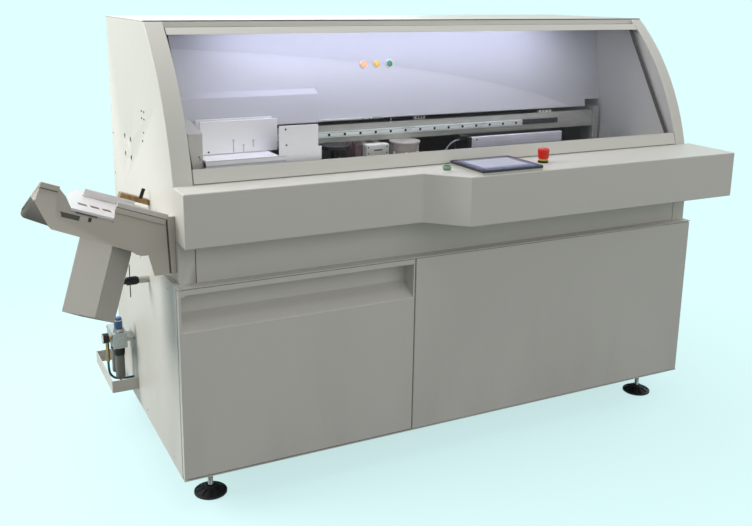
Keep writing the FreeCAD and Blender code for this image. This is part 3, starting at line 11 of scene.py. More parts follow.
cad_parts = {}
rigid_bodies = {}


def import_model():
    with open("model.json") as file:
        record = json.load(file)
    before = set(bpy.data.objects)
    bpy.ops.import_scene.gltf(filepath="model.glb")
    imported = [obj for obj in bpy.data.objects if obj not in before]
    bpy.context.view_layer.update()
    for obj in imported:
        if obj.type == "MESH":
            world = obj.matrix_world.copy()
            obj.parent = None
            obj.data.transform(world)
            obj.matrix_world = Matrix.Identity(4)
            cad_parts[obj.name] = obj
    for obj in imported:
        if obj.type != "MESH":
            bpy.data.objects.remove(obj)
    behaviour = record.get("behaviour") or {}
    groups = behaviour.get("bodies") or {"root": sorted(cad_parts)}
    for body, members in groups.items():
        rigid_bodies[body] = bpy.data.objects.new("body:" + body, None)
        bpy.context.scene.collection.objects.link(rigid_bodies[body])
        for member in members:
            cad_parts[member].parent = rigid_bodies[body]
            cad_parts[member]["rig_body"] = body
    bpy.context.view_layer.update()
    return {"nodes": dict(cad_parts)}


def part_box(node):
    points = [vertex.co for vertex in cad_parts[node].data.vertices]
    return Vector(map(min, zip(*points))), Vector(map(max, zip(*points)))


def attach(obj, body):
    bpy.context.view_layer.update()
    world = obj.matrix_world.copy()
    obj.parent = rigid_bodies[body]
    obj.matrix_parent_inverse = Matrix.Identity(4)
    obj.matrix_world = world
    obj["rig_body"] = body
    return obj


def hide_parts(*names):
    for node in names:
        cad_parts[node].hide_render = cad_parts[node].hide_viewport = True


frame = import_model()
NODES = frame["nodes"]

MM = 0.001
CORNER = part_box("cabinet_floor_and_top")[0].xy
FLOOR_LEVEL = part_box("levelling_feet")[0].z


def spot(x, y, z):
    """A place in the frame, from millimetres."""
    return Vector((CORNER.x + x * MM, CORNER.y + y * MM, z * MM))


def local(node, corner):
    """A corner of a node's box, back in millimetres from the cabinet's corner."""
    low_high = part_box(node)[corner]
    return (low_high.x - CORNER.x) / MM, (low_high.y - CORNER.y) / MM, low_high.z / MM


# ---------------------------------------------------------------- shader maths

class Value:
    """A socket that can be used in Python expressions; each one adds its Math node."""

    def __init__(self, paint, socket):
        self.paint, self.socket = paint, socket

    def _maths(self, operation, *values):
        node = self.paint.node("ShaderNodeMath", {"operation": operation}, dict(enumerate(values)))
        return Value(self.paint, node.outputs[0])

    def __add__(self, other):
        return self._maths("ADD", self, other)

    def __sub__(self, other):
        return self._maths("SUBTRACT", self, other)

    def __rsub__(self, other):
        return self._maths("SUBTRACT", other, self)

    def __mul__(self, other):
        return self._maths("MULTIPLY", self, other)

    def __truediv__(self, other):
        return self._maths("DIVIDE", self, other)

    def __pow__(self, other):
        return self._maths("POWER", self, other)

    __radd__ = __add__
    __rmul__ = __mul__

    def above(self, edge):
        return self._maths("GREATER_THAN", self, edge)

    def clear(self):
        """Held between 0 and 1."""
        node = self.paint.node("ShaderNodeClamp", {}, {"Value": self})
        return Value(self.paint, node.outputs[0])

    def between(self, low, high):
        """0 below low, 1 above high, smooth in between."""
        node = self.paint.node("ShaderNodeMapRange", {"interpolation_type": "SMOOTHSTEP"},
                               {"Value": self, "From Min": low, "From Max": high})
        return Value(self.paint, node.outputs[0])


def tone(red, green, blue, alpha=1.0):
    """A colour of 0 to 255 a channel, as the shaders want it."""
    def straight(channel):
        share = channel / 255
        return share / 12.92 if share <= 0.04045 else ((share + 0.055) / 1.055) ** 2.4
    return (straight(red), straight(green), straight(blue), alpha)


class Paint:
    """One material and its node tree, round a Principled shader."""

    def __init__(self, name, **settings):
        self.material = bpy.data.materials.new(name)
        self.material.use_nodes = True
        self.tree = self.material.node_tree
        self.shader = self.tree.nodes["Principled BSDF"]
        for socket, value in settings.items():
            self.shader.inputs[socket.replace("_", " ")].default_value = value

    def node(self, kind, settings, values):
        """Adds a node: its settings first, then the values or links of its sockets."""
        node = self.tree.nodes.new(kind)
        for name, value in settings.items():
            setattr(node, name, value)
        for name, value in values.items():
            self.join(value, node.inputs[name])
        return node

    def join(self, value, socket):
        if isinstance(value, Value):
            value = value.socket
        if isinstance(value, bpy.types.NodeSocket):
            self.tree.links.new(value, socket)
        else:
            socket.default_value = value

    def set(self, name, value):
        self.join(value, self.shader.inputs[name])

    def place(self):
        return self.node("ShaderNodeTexCoord", {}, {}).outputs["Object"]

    def axes(self, vector=None):
        split = self.node("ShaderNodeSeparateXYZ", {}, {0: vector or self.place()})
        return [Value(self, socket) for socket in split.outputs]

    def stretched(self, scale, turn=(0, 0, 0)):
        values = {"Vector": self.place(), "Scale": scale, "Rotation": turn}
        return self.node("ShaderNodeMapping", {}, values).outputs[0]

    def noise(self, scale, detail=2.0, vector=None, roughness=0.5):
        node = self.node("ShaderNodeTexNoise", {}, {"Vector": vector or self.place(), "Scale": scale,
                                                    "Detail": detail, "Roughness": roughness})
        return Value(self, node.outputs["Fac"])

    def mix(self, factor, first, second):
        """One colour turning into another. A Mix node's colours are its inputs 6 and 7."""
        node = self.node("ShaderNodeMix", {"data_type": "RGBA"}, {0: factor, 6: first, 7: second})
        return node.outputs[2]

    def bump(self, height, depth, strength=1.0, under=None):
        values = {"Height": height, "Distance": depth, "Strength": strength}
        if under is not None:
            values["Normal"] = under
        return self.node("ShaderNodeBump", {}, values).outputs[0]


def shade(colour, share):
    """A colour made darker or lighter by a share."""
    return tuple(min(1.0, channel * share) for channel in colour[:3]) + (1.0,)


# ---------------------------------------------------------------- finishes

def powder_coat(name, colour, dust=0.0, gloss=0.42):
    """Baked powder paint on sheet metal: faint orange peel, slow drifts of tone, and a little
    dust that gathers low down."""
    paint = Paint(name)
    slow = paint.noise(1.7, 3.0)
    fine = paint.noise(38.0, 4.0, roughness=0.62)
    drift = (slow - 0.5) * 0.30 + (fine - 0.5) * 0.14 + 0.5
    body = paint.mix(drift.clear(), shade(colour, 0.93), shade(colour, 1.06))
    height = paint.axes()[2]
    smear = paint.noise(5.0, 5.0, paint.stretched((1.0, 1.0, 0.25)))
    low = (1.0 - height.between(0.08, 0.75)) * smear.between(0.35, 0.75) * dust
    paint.set("Base Color", paint.mix(low, body, shade(colour, 0.80)))
    paint.set("Roughness", gloss + (fine - 0.5) * 0.16 + low * 0.2)
    peel = paint.noise(620.0, 2.0)
    paint.set("Normal", paint.bump(peel, 0.00012, 0.35))
    paint.shader.inputs["Specular IOR Level"].default_value = 0.3
    return paint.material


def well_paint(name, colour, dark, level):
    """Powder coat that turns dark below a level: painted shade of the deep, unlit well, with oil and
    dust staining as well.
    """
    paint = Paint(name)
    height = paint.axes()[2] + (paint.noise(9.0, 4.0) - 0.5) * 0.012
    fine = paint.noise(38.0, 4.0, roughness=0.62)
    body = paint.mix(fine, shade(colour, 0.94), shade(colour, 1.05))
    paint.set("Base Color", paint.mix(height.between(level - 0.012, level), dark, body))
    paint.set("Roughness", 0.5 + (fine - 0.5) * 0.16)
    paint.set("Normal", paint.bump(paint.noise(620.0, 2.0), 0.00012, 0.35))
    return paint.material


def metal(name, colour, rough, scale, metallic=1.0, stain=0.25):
    """Metal with fine lines drawn along one way, and faint stains."""
    paint = Paint(name, Metallic=metallic)
    lines = paint.noise(1.0, 4.0, paint.stretched(scale), 0.7)
    cloud = paint.noise(14.0, 3.0)
    worn = (lines * 0.7 + cloud * 0.3).between(0.3, 0.75)
    body = paint.mix(worn, shade(colour, 1 - stain), shade(colour, 1.08))
    paint.set("Base Color", body)
    paint.set("Roughness", rough + (lines - 0.5) * 0.22 + (cloud - 0.5) * 0.12)
    paint.set("Normal", paint.bump(lines, 0.00008, 0.3))
    return paint.material


def moulded(name, colour, rough=0.38, grain=900.0, depth=0.00006):
    """Moulded plastic or rubber with a fine grain."""
    paint = Paint(name)
    speck = paint.noise(grain, 2.0)
    cloud = paint.noise(22.0, 3.0)
    paint.set("Base Color", paint.mix(cloud.between(0.25, 0.8), shade(colour, 0.88), shade(colour, 1.1)))
    paint.set("Roughness", rough + (cloud - 0.5) * 0.18)
    paint.set("Normal", paint.bump(speck, depth, 0.5))
    paint.shader.inputs["Specular IOR Level"].default_value = 0.32
    return paint.material


def cast(name, colour):
    """Rough cast or primed iron."""
    paint = Paint(name)
    grit = paint.noise(260.0, 5.0, roughness=0.7)
    cloud = paint.noise(18.0, 4.0)
    paint.set("Base Color", paint.mix(cloud.between(0.25, 0.8), shade(colour, 0.72), shade(colour, 1.2)))
    paint.set("Roughness", 0.55 + (grit - 0.5) * 0.3)
    paint.set("Normal", paint.bump(grit, 0.0004, 0.5))
    return paint.material


def lens(name, colour, glow):
    """A coloured lamp lens, lit from behind by a share."""
    paint = Paint(name, Roughness=0.18)
    cloud = paint.noise(90.0, 2.0)
    body = paint.mix(cloud.between(0.3, 0.7), shade(colour, 0.82), colour)
    paint.set("Base Color", body)
    paint.set("Emission Color", body)
    paint.shader.inputs["Emission Strength"].default_value = glow
    paint.shader.inputs["Coat Weight"].default_value = 0.4
    return paint.material


def clear_sheet(name):
    """Bent clear polycarbonate: almost unseen straight on, hazier at a slant, with wiping marks."""
    paint = Paint(name, Roughness=0.05)
    paint.shader.inputs["Specular IOR Level"].default_value = 0.12
    paint.set("Base Color", tone(120, 126, 132))
    wipe = paint.noise(3.0, 5.0, paint.stretched((1.0, 6.0, 6.0)), 0.7)
    slant = Value(paint, paint.node("ShaderNodeFresnel", {}, {"IOR": 1.49}).outputs[0])
    paint.set("Alpha", 0.01 + wipe.between(0.5, 0.95) * 0.02 + slant * 0.2)
    paint.shader.inputs["IOR"].default_value = 1.49
    return paint.material


LIT_FROM, LIT_TO = 200, 1690
FADE_IN, FADE_OUT = 0.14, 0.16


def light_strip(name, colour, strength):
    """The diffuser of a light bar: lit along the middle of the bay, dark at both ends."""
    paint = Paint(name, Roughness=0.6)
    grain = paint.noise(60.0, 2.0)
    body = paint.mix(grain, shade(colour, 0.96), colour)
    paint.set("Base Color", body)
    x = paint.axes()[0]
    left, right = spot(LIT_FROM, 0, 0).x, spot(LIT_TO, 0, 0).x
    lit = x.between(left, left + FADE_IN) * (1.0 - x.between(right - FADE_OUT, right))
    paint.set("Emission Color", paint.mix(lit, shade(colour, 0.02), body))
    paint.shader.inputs["Emission Strength"].default_value = strength
    return paint.material


def display(name):
    """The touch screen's glass, lit in a pale violet with a lighter panel on it."""
    paint = Paint(name, Roughness=0.12)
    low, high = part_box("screen_glass")
    x, y, _ = paint.axes()
    across = (x - low.x) / (high.x - low.x)
    along = (y - low.y) / (high.y - low.y)
    inside = across.above(0.07) * (1.0 - across.above(0.93))
    inside = inside * along.above(0.16) * (1.0 - along.above(0.90))
    haze = paint.noise(30.0, 3.0)
    panel = paint.mix(haze, tone(166, 170, 186), tone(178, 182, 196))
    body = paint.mix(inside, tone(116, 116, 150), panel)
    paint.set("Base Color", body)
    paint.set("Emission Color", body)
    paint.shader.inputs["Emission Strength"].default_value = 0.12
    return paint.material


BODY = tone(200, 198, 190)
BODY_PAINT = powder_coat("body powder coat", BODY, dust=0.5)
# The bed turns near black below 952 mm: painted shade of the deep well, with oil staining.
BED_PAINT = well_paint("bed powder coat", BODY, tone(44, 41, 42), 0.952)
BAY_PAINT = powder_coat("bay powder coat", tone(198, 198, 201), gloss=0.36)
HOPPER_PAINT = powder_coat("hopper powder coat", tone(184, 178, 166), gloss=0.40)
DUCT_PAINT = powder_coat("duct powder coat", tone(178, 175, 168), gloss=0.46)
TABLE_PAINT = powder_coat("feed table white", tone(212, 210, 211), gloss=0.34)
WHITE_PAINT = powder_coat("clamp white", tone(246, 246, 246), gloss=0.35)
BASE_PAINT = powder_coat("frame black", tone(58, 58, 60), dust=0.6)
# Painted shade: the dark strips under the hopper's lips, in its notch, under the table's edge and beside
# its end flange.
LIP_SHADE = powder_coat("hopper shade", tone(84, 82, 76), gloss=0.6)
LIP_PAINT = powder_coat("rolled lip", tone(204, 200, 192), gloss=0.4)
# A darker grey for the hopper plate's bent corner: painted shade.
CORNER_SHADE_PAINT = powder_coat("hopper corner painted shade", tone(112, 110, 104), gloss=0.6)
BRACE_PAINT = powder_coat("brace brown black", tone(66, 54, 46), gloss=0.5)
STEEL = metal("ground steel", tone(206, 208, 206), 0.30, (4.0, 180.0, 180.0))
DULL_STEEL = metal("zinc plated steel", tone(168, 168, 164), 0.42, (60.0, 60.0, 60.0), stain=0.35)
ROLLER_STEEL = metal("roller steel", tone(190, 184, 176), 0.24, (8.0, 8.0, 120.0))
BLACKED_STEEL = metal("blackened steel", tone(50, 46, 48), 0.5, (40.0, 40.0, 40.0), 0.3, 0.3)
ALUMINIUM = metal("anodised beam", tone(186, 184, 178), 0.46, (3.0, 220.0, 220.0), 0.35)
RAIL_STEEL = metal("ground rail", tone(222, 226, 222), 0.3, (3.0, 260.0, 260.0), 0.45, 0.12)
BLOCK_METAL = metal("milled block", tone(240, 238, 230), 0.4, (160.0, 6.0, 160.0), 0.35, 0.15)
DRUM_STEEL = metal("drum steel", tone(226, 216, 206), 0.36, (4.0, 4.0, 160.0), 0.4, 0.3)
NIP_METAL = metal("anodised nip bar", tone(232, 230, 242), 0.42, (3.0, 260.0, 260.0), 0.3, 0.12)
BRASS = metal("turned brass", tone(176, 146, 104), 0.34, (120.0, 40.0, 40.0), stain=0.5)
CASTING = cast("primed casting", tone(118, 96, 94))
BLACK_PLASTIC = moulded("black moulding", tone(22, 22, 23), 0.45)
RUBBER = moulded("black rubber", tone(18, 17, 16), 0.62, 500.0, 0.0002)
SHADOW_BLACK = moulded("dark cavity", tone(16, 16, 17), 0.85)
CHAIN_PLASTIC = moulded("drag chain", tone(72, 68, 74), 0.5)
KEY_GREY = powder_coat("pale grey key", tone(196, 198, 208), gloss=0.4)
WHITE_PLASTIC = moulded("white bezel", tone(222, 222, 214), 0.34)
YELLOW_PLASTIC = moulded("yellow base", tone(206, 178, 70), 0.38)
GREEN_PLASTIC = moulded("green button", tone(44, 96, 66), 0.1)
GREEN_RIM = moulded("green button rim", tone(112, 146, 118), 0.2)
# Dark reddish feed belts; their dark colour also stands in for the shade inside the table's slots.
FEED_BELT_AND_SLOT_SHADE = moulded("feed belts and slot shade", tone(92, 74, 78), 0.6)
RED_PLASTIC = moulded("red button", tone(206, 44, 26), 0.26)
SCREEN_PLASTIC = moulded("screen bezel", tone(52, 52, 64), 0.36)
BLUE_PLASTIC = moulded("blue knob", tone(66, 98, 136), 0.34)
BOWL_PLASTIC = moulded("smoked bowl", tone(112, 110, 104), 0.16)
DIAL = moulded("gauge dial", tone(214, 214, 208), 0.3)
SILVER = metal("die cast body", tone(176, 176, 174), 0.40, (70.0, 70.0, 70.0), 0.8)
TEAL_HOSE = moulded("teal hose", tone(38, 98, 112), 0.32)
CABLE_GREY = moulded("grey cable", tone(150, 150, 150), 0.45)
AMBER_LENS = lens("amber lens", tone(255, 150, 96), 0.9)
YELLOW_LENS = lens("yellow lens", tone(236, 186, 40), 0.25)
GREEN_LENS = lens("green lens", tone(34, 140, 92), 0.12)
CLEAR = clear_sheet("clear cover sheet")
LIGHT = light_strip("light bar diffuser", tone(222, 225, 255), 14.5)
SCREEN = display("lit screen")


# ---------------------------------------------------------------- making pieces

def finish(name, bm, paint, body, replaces=(), smooth=38):
    """Turns a bmesh into a piece that rides on a body."""
    mesh = bpy.data.meshes.new(name)
    bm.to_mesh(mesh)
    bm.free()
    mesh.polygons.foreach_set("use_smooth", [True] * len(mesh.polygons))
    mesh.set_sharp_from_angle(angle=math.radians(smooth))
    for material in paint if isinstance(paint, (list, tuple)) else [paint]:
        mesh.materials.append(material)
    piece = bpy.data.objects.new(name, mesh)
    bpy.context.scene.collection.objects.link(piece)
    settled = piece.modifiers.new("even shading", "WEIGHTED_NORMAL")
    settled.keep_sharp = True
    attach(piece, body)
    if replaces:
        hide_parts(*replaces)


def bevel(bm, edges, width, segments=2, clamp=True):
    bmesh.ops.bevel(bm, geom=edges, offset=width * MM, offset_type="OFFSET", segments=segments,
                    profile=0.5, affect="EDGES", material=-1, clamp_overlap=clamp)


def merged_copy(node):
    """A CAD node's mesh as a bmesh, its triangles merged into whole faces."""
    bm = bmesh.new()
    bm.from_mesh(NODES[node].data)
    bmesh.ops.remove_doubles(bm, verts=bm.verts, dist=1e-5)
    bmesh.ops.dissolve_limit(bm, angle_limit=math.radians(0.3), verts=bm.verts, edges=bm.edges)
    return bm


def breadth(face):
    return face.calc_area() / max(edge.calc_length() for edge in face.edges)


FOLD_ANGLE, RIM_ANGLE = math.radians(35), math.radians(70)
RIM_BEVEL = 0.5


def convex(bm, angle):
    """The edges where two faces meet outwards by more than an angle."""
    return [e for e in bm.edges if e.is_manifold and e.calc_face_angle_signed(0) > angle]


def folded(node, paint, fold, made=None):
    """A CAD node made again as folded sheet: wide faces meet in a rounded fold, and the thin
    rims of the sheet lose only their sharpness."""
    bm = made or merged_copy(node)
    folds = [e for e in convex(bm, FOLD_ANGLE) if min(map(breadth, e.link_faces)) > fold * 3 * MM]
    bevel(bm, folds, fold, 3, clamp=False)
    bevel(bm, convex(bm, RIM_ANGLE), RIM_BEVEL, 1)
    body = NODES[node]["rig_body"]
    finish(node + "_finished", bm, paint, body, (node,))


def dressed(node, paint):
    """A CAD node that keeps its own mesh and gets a finish."""
    mesh = NODES[node].data
    mesh.materials.clear()
    mesh.materials.append(paint)


def block(bm, low, high, edge=0.0, segments=2, paint=0):
    """A block between two places in millimetres, with softened edges."""
    low, high = spot(*low), spot(*high)
    middle, size = (low + high) / 2, high - low
    place = Matrix.Translation(middle) @ Matrix.Diagonal((*size, 1))
    made = bmesh.ops.create_cube(bm, size=1, matrix=place)["verts"]
    for face in dict.fromkeys(f for v in made for f in v.link_faces):
        face.material_index = paint
    if edge:
        bevel(bm, list(dict.fromkeys(e for v in made for e in v.link_edges)), edge, segments)


AXES = {
    "X": Matrix.Rotation(math.pi / 2, 4, "Y"),
    "Y": Matrix.Rotation(-math.pi / 2, 4, "X"),
    "Z": Matrix(),
}
FRONT = AXES["Y"] @ Matrix.Rotation(math.pi, 4, "X")
LEFT = AXES["X"] @ Matrix.Rotation(math.pi, 4, "X")


def turned(bm, profile, at, way=Matrix(), steps=32, paint=0):
    """A shape turned about an axis from (radius, height) points in millimetres."""
    before = set(bm.verts)
    points = [bm.verts.new((radius * MM, 0, height * MM)) for radius, height in profile]
    edges = [bm.edges.new(pair) for pair in zip(points, points[1:])]
    bmesh.ops.spin(bm, geom=points + edges, cent=(0, 0, 0), axis=(0, 0, 1), dvec=(0, 0, 0),
                   angle=2 * math.pi, steps=steps, use_merge=True)
    made = [v for v in bm.verts if v not in before]
    bmesh.ops.remove_doubles(bm, verts=made, dist=1e-6)
    made = [v for v in bm.verts if v not in before]
    bmesh.ops.transform(bm, matrix=Matrix.Translation(spot(*at)) @ way, verts=made)
    faces = list(dict.fromkeys(f for v in made for f in v.link_faces))
    bmesh.ops.recalc_face_normals(bm, faces=faces)
    for face in faces:
        face.material_index = paint
    return made


def rod(bm, at, radius, length, way=AXES["Z"], steps=24, soft=0.6, paint=0):
    """A round bar with softened ends."""
    soft = min(soft, radius / 3, length / 3)
    profile = [(0, 0), (radius - soft, 0), (radius, soft)]
    profile += [(radius, length - soft), (radius - soft, length), (0, length)]
    turned(bm, profile, at, way, steps, paint)


def screw(bm, at, radius, way, high=2.5, paint=0):
    """A button head with a hexagon socket."""
    mouth, socket, floor_level = radius * 0.5, radius * 0.42, high * 0.3
    head = [(radius, 0), (radius, high * 0.3), (radius * 0.8, high * 0.85), (mouth, high)]
    turned(bm, head, at, way, 18, paint)
    hexagon = [(mouth, high), (socket, high * 0.95), (socket, floor_level), (0, floor_level)]
    turned(bm, hexagon, at, way, 6, paint)


# ---------------------------------------------------------------- camera, light and floor

def camera():
    """The viewing angle, with the lens's centre off the middle of the picture."""
    data = bpy.data.cameras.new("camera")
    data.sensor_width = 36
    data.lens = 42.991
    data.shift_x = 0.02036
    data.shift_y = -0.08092
    data.clip_start = 0.05
    made = bpy.data.objects.new("camera", data)
    bpy.context.scene.collection.objects.link(made)
    made.location = (-1.36307, -2.68274, 1.49286)
    made.rotation_euler = [math.radians(angle) for angle in (76.7573, -0.6340, -26.2006)]
    bpy.context.scene.camera = made


def area_light(name, at, aim, size, power, colour=(1, 1, 1)):
    data = bpy.data.lights.new(name, "AREA")
    data.shape = "RECTANGLE"
    data.size, data.size_y = size
    data.energy = power
    data.color = colour
    made = bpy.data.objects.new(name, data)
    bpy.context.scene.collection.objects.link(made)
    made.location = at
    made.rotation_euler = (Vector(aim) - Vector(at)).to_track_quat("-Z", "Y").to_euler()


PAPER = tone(224, 255, 255)


def looked_at(tree):
    """1 for what the camera sees straight, in a reflection or through the clear sheet, else 0."""
    path = tree.nodes.new("ShaderNodeLightPath")
    seen = path.outputs["Is Camera Ray"]
    for ray in ("Is Glossy Ray", "Is Transmission Ray"):
        either = tree.nodes.new("ShaderNodeMath")
        either.operation = "MAXIMUM"
        tree.links.new(seen, either.inputs[0])
        tree.links.new(path.outputs[ray], either.inputs[1])
        seen = either.outputs[0]
    return seen


def surroundings():
    """The studio: the camera and reflections see the pale backdrop, and the object gets plain
    grey light."""
    world = bpy.data.worlds.new("studio")
    bpy.context.scene.world = world
    world.use_nodes = True
    tree = world.node_tree
    seen = looked_at(tree)
    light, backdrop = tree.nodes["Background"], tree.nodes.new("ShaderNodeBackground")
    light.inputs["Color"].default_value = (0.93, 0.95, 1.0, 1)
    light.inputs["Strength"].default_value = 0.29
    backdrop.inputs["Color"].default_value = PAPER
    both = tree.nodes.new("ShaderNodeMixShader")
    tree.links.new(seen, both.inputs[0])
    tree.links.new(light.outputs[0], both.inputs[1])
    tree.links.new(backdrop.outputs[0], both.inputs[2])
    tree.links.new(both.outputs[0], tree.nodes["World Output"].inputs["Surface"])


def floor():
    """A plain pale floor that keeps the machine's shadow close to it and fades into the backdrop."""
    bm = bmesh.new()
    bmesh.ops.create_grid(bm, x_segments=1, y_segments=1, size=40)
    mesh = bpy.data.meshes.new("floor")
    bm.to_mesh(mesh)
    bm.free()
    made = bpy.data.objects.new("floor", mesh)
    made.location.z = FLOOR_LEVEL
    bpy.context.scene.collection.objects.link(made)
    paint = Paint("floor", Roughness=0.9)
    seen = Value(paint, looked_at(paint.tree))
    grain = paint.noise(3.0, 4.0)
    plain_grey = paint.mix(grain, tone(120, 120, 118), tone(126, 126, 124))
    paint.set("Base Color", paint.mix(seen, plain_grey, PAPER))
    x, y, _ = paint.axes()
    reach = (x * x + y * y) ** 0.5
    plain = paint.node("ShaderNodeEmission", {}, {"Color": PAPER, "Strength": 1.0})
    share = seen * (0.72 + reach.between(0.9, 2.6) * 0.28)
    shaders = {0: share, 1: paint.shader.outputs[0], 2: plain.outputs[0]}
    both = paint.node("ShaderNodeMixShader", {}, shaders)
    paint.tree.links.new(both.outputs[0], paint.tree.nodes["Material Output"].inputs["Surface"])
    mesh.materials.append(paint.material)


def studio():
    bpy.context.scene.view_settings.view_transform = "Standard"
    surroundings()
    floor()
    area_light("window light", (-4.0, 1.3, 2.9), (-0.8, 0.15, 1.0), (2.6, 2.4), 195, (1.0, 0.985, 0.96))
    area_light("front light", (1.5, -5.6, 3.1), (0.2, 0, 0.75), (7.5, 4.2), 116, (1.0, 0.995, 0.985))
    area_light("top light", (-0.6, -0.3, 4.6), (0.0, 0, 0.9), (4.0, 3.0), 72)
    area_light("back light", (1.0, 5.0, 3.0), (0, 0, 0.8), (4.0, 3.0), 50)
    area_light("right light", (5.0, 0.5, 2.4), (0.8, 0, 0.8), (3.0, 3.0), 70)


camera()


# ---------------------------------------------------------------- cords

HOSE_ROUTE = [(-86, 640, 246), (-86, 640, 224), (-83, 642, 200), (-70, 646, 180), (-48, 650, 171),
              (-24, 653, 168), (0, 655, 168)]
CABLE_ROUTE = [(1150, 400, 974), (1128, 400, 973), (1099, 401, 950), (1084, 403, 915), (1076, 404, 880),
               (1072, 404, 850)]


def cord(name, route, thick, paint):
    """A hose or cable that goes from one fitting into another, along one smooth line."""
    line = bpy.data.curves.new(name, "CURVE")
    line.dimensions = "3D"
    line.bevel_depth = thick / 2 * MM
    line.bevel_resolution = 5
    line.resolution_u = 24
    spline = line.splines.new("NURBS")
    spline.points.add(len(route) - 1)
    for point, place in zip(spline.points, route):
        point.co = (*spot(*place), 1)
    spline.order_u = 3
    spline.use_endpoint_u = True
    line.materials.append(paint)
    piece = bpy.data.objects.new(name, line)
    bpy.context.scene.collection.objects.link(piece)
    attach(piece, "machine")
    spot(*route[0])
    return piece


hose = cord("air_hose_finished", HOSE_ROUTE, 8, TEAL_HOSE)
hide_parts("air_hose")
cable = cord("nip_sensor_cable_finished", CABLE_ROUTE, 6, CABLE_GREY)
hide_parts("nip_sensor_cable")


studio()


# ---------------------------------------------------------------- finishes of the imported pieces

KEPT = {
    "base_frame": BASE_PAINT, "cabinet_floor_and_top": BODY_PAINT, "hinge_pins": STEEL,
    "ceiling_light_bar": LIGHT, "machine_bed": BED_PAINT,
    "cutter_motor_and_hood": CASTING, "spine_cutter": BLACKED_STEEL, "glue_tank": CASTING,
    "first_glue_roller": ROLLER_STEEL, "second_glue_roller": ROLLER_STEEL, "nip_table": BLACKED_STEEL,
    "cover_window": CLEAR, "screen_glass": SCREEN, "air_fittings": BRASS,
}
for node, paint in KEPT.items():
    dressed(node, paint)

BODY_SHEETS = {
    "cabinet_left_panel": 3.0, "cabinet_right_panel": 3.0, "cabinet_back_panel": 2.0,
    "left_door": 3.0, "right_door": 3.0, "left_side_casing": 3.0, "right_side_casing": 3.0,
    "band_front_panel": 1.0, "upper_rear_cover": 1.0, "roof_panel": 3.0, "console_shell": 3.5,
    "cover_bottom_rail": 2.5, "cover_top_rail": 1.0,
}
for node, fold in BODY_SHEETS.items():
    folded(node, BODY_PAINT, fold)

FOLDED = [
    ("cover_braces", BRACE_PAINT, 1.2, "dark_bar"),
    ("bay_back_panel", BAY_PAINT, 2.0, "bay_grey"),
    ("guide_beam", ALUMINIUM, 1.5, "aluminium"),
    ("clamp_carriage", WHITE_PAINT, 1.2, "white_paint"),
    ("clamp_front_jaw", WHITE_PAINT, 1.2, "white_paint"),
    ("loading_ledge", WHITE_PAINT, 1.2, "white_paint"),
    ("glue_drive_block", BLOCK_METAL, 1.2, "aluminium"),
    ("glue_premelter", DRUM_STEEL, 1.0, "steel"),
    ("front_nip_bar", NIP_METAL, 1.2, "aluminium"),
    ("rear_nip_bar", BLACKED_STEEL, 1.2, "aluminium"),
    ("hopper_side_guide", TABLE_PAINT, 1.0, "table_white"),
    ("waste_duct", DUCT_PAINT, 2.0, "hopper_grey"),
    ("cover_joggler", BRASS, 1.0, "brass"),
    ("air_guard_and_switch_boss", BODY_PAINT, 1.2, "body_grey"),
    ("air_unit_body", SILVER, 2.0, "air_silver"),
]
for node, paint, fold, slot in FOLDED:
    folded(node, paint, fold)


# ---------------------------------------------------------------- feet

FOOT_PLACES = [(x, y) for x in (102, 1798) for y in (90, 789)]
SKIRT = [(0, 0), (47, 0), (50, 2), (50, 7), (48.5, 8.6), (45.5, 9.2), (44.5, 8.4), (42, 9.6),
         (30, 15.6), (20, 20), (17.5, 21.5), (17, 26), (13, 27.6), (8.2, 28)]
STEM_RADIUS, THREAD_PITCH, THREAD_DEEP = 8, 3, 0.9
STEM_LOW, STEM_HIGH = 26, 105
RIB_COUNT, RIB_SLOPE, RIB_OUT, RIB_HIGH = 10, 26, 32, 14.6
RIB_SIZE = (25, 2.2, 5)
NUT_HIGH = 12


def foot(bm, x, y):
    """A levelling foot: ribbed black base, threaded stem and its lock nut under the cabinet."""
    turned(bm, SKIRT, (x, y, 0), steps=48)
    for i in range(RIB_COUNT):
        turn = Matrix.Rotation(2 * math.pi * i / RIB_COUNT, 4, "Z")
        out = Matrix.Translation((RIB_OUT * MM, 0, RIB_HIGH * MM))
        slope = Matrix.Rotation(math.radians(RIB_SLOPE), 4, "Y")
        size = Matrix.Diagonal([side * MM for side in RIB_SIZE] + [1])
        place = Matrix.Translation(spot(x, y, 0)) @ (turn @ out @ slope @ size)
        bmesh.ops.create_cube(bm, size=1, matrix=place)
    count = round(2 * (STEM_HIGH - STEM_LOW) / THREAD_PITCH)
    thread = [(STEM_RADIUS - THREAD_DEEP * (n % 2), STEM_LOW + n * THREAD_PITCH / 2)
              for n in range(count)]
    turned(bm, thread, (x, y, 0), steps=24, paint=1)
    nut = [(7.2, 0), (14.2, 0), (15, 0.8), (15, NUT_HIGH - 0.8), (14.2, NUT_HIGH), (7.2, NUT_HIGH)]
    turned(bm, nut, (x, y, STEM_HIGH - NUT_HIGH), steps=6, paint=1)


def feet():
    bm = bmesh.new()
    for x, y in FOOT_PLACES:
        foot(bm, x, y)
    finish("levelling_feet_finished", bm, [RUBBER, DULL_STEEL], "machine",
           ["levelling_feet"])


feet()


# ---------------------------------------------------------------- console controls

SCREEN_TOP, PLINTH_TOP = 979, 971
GLASS_BORDER = 13.8
START, STOP = (820, -51), (1188, -38)
DECK, BELOW_DECK = 964, 946
FLUTES = 24


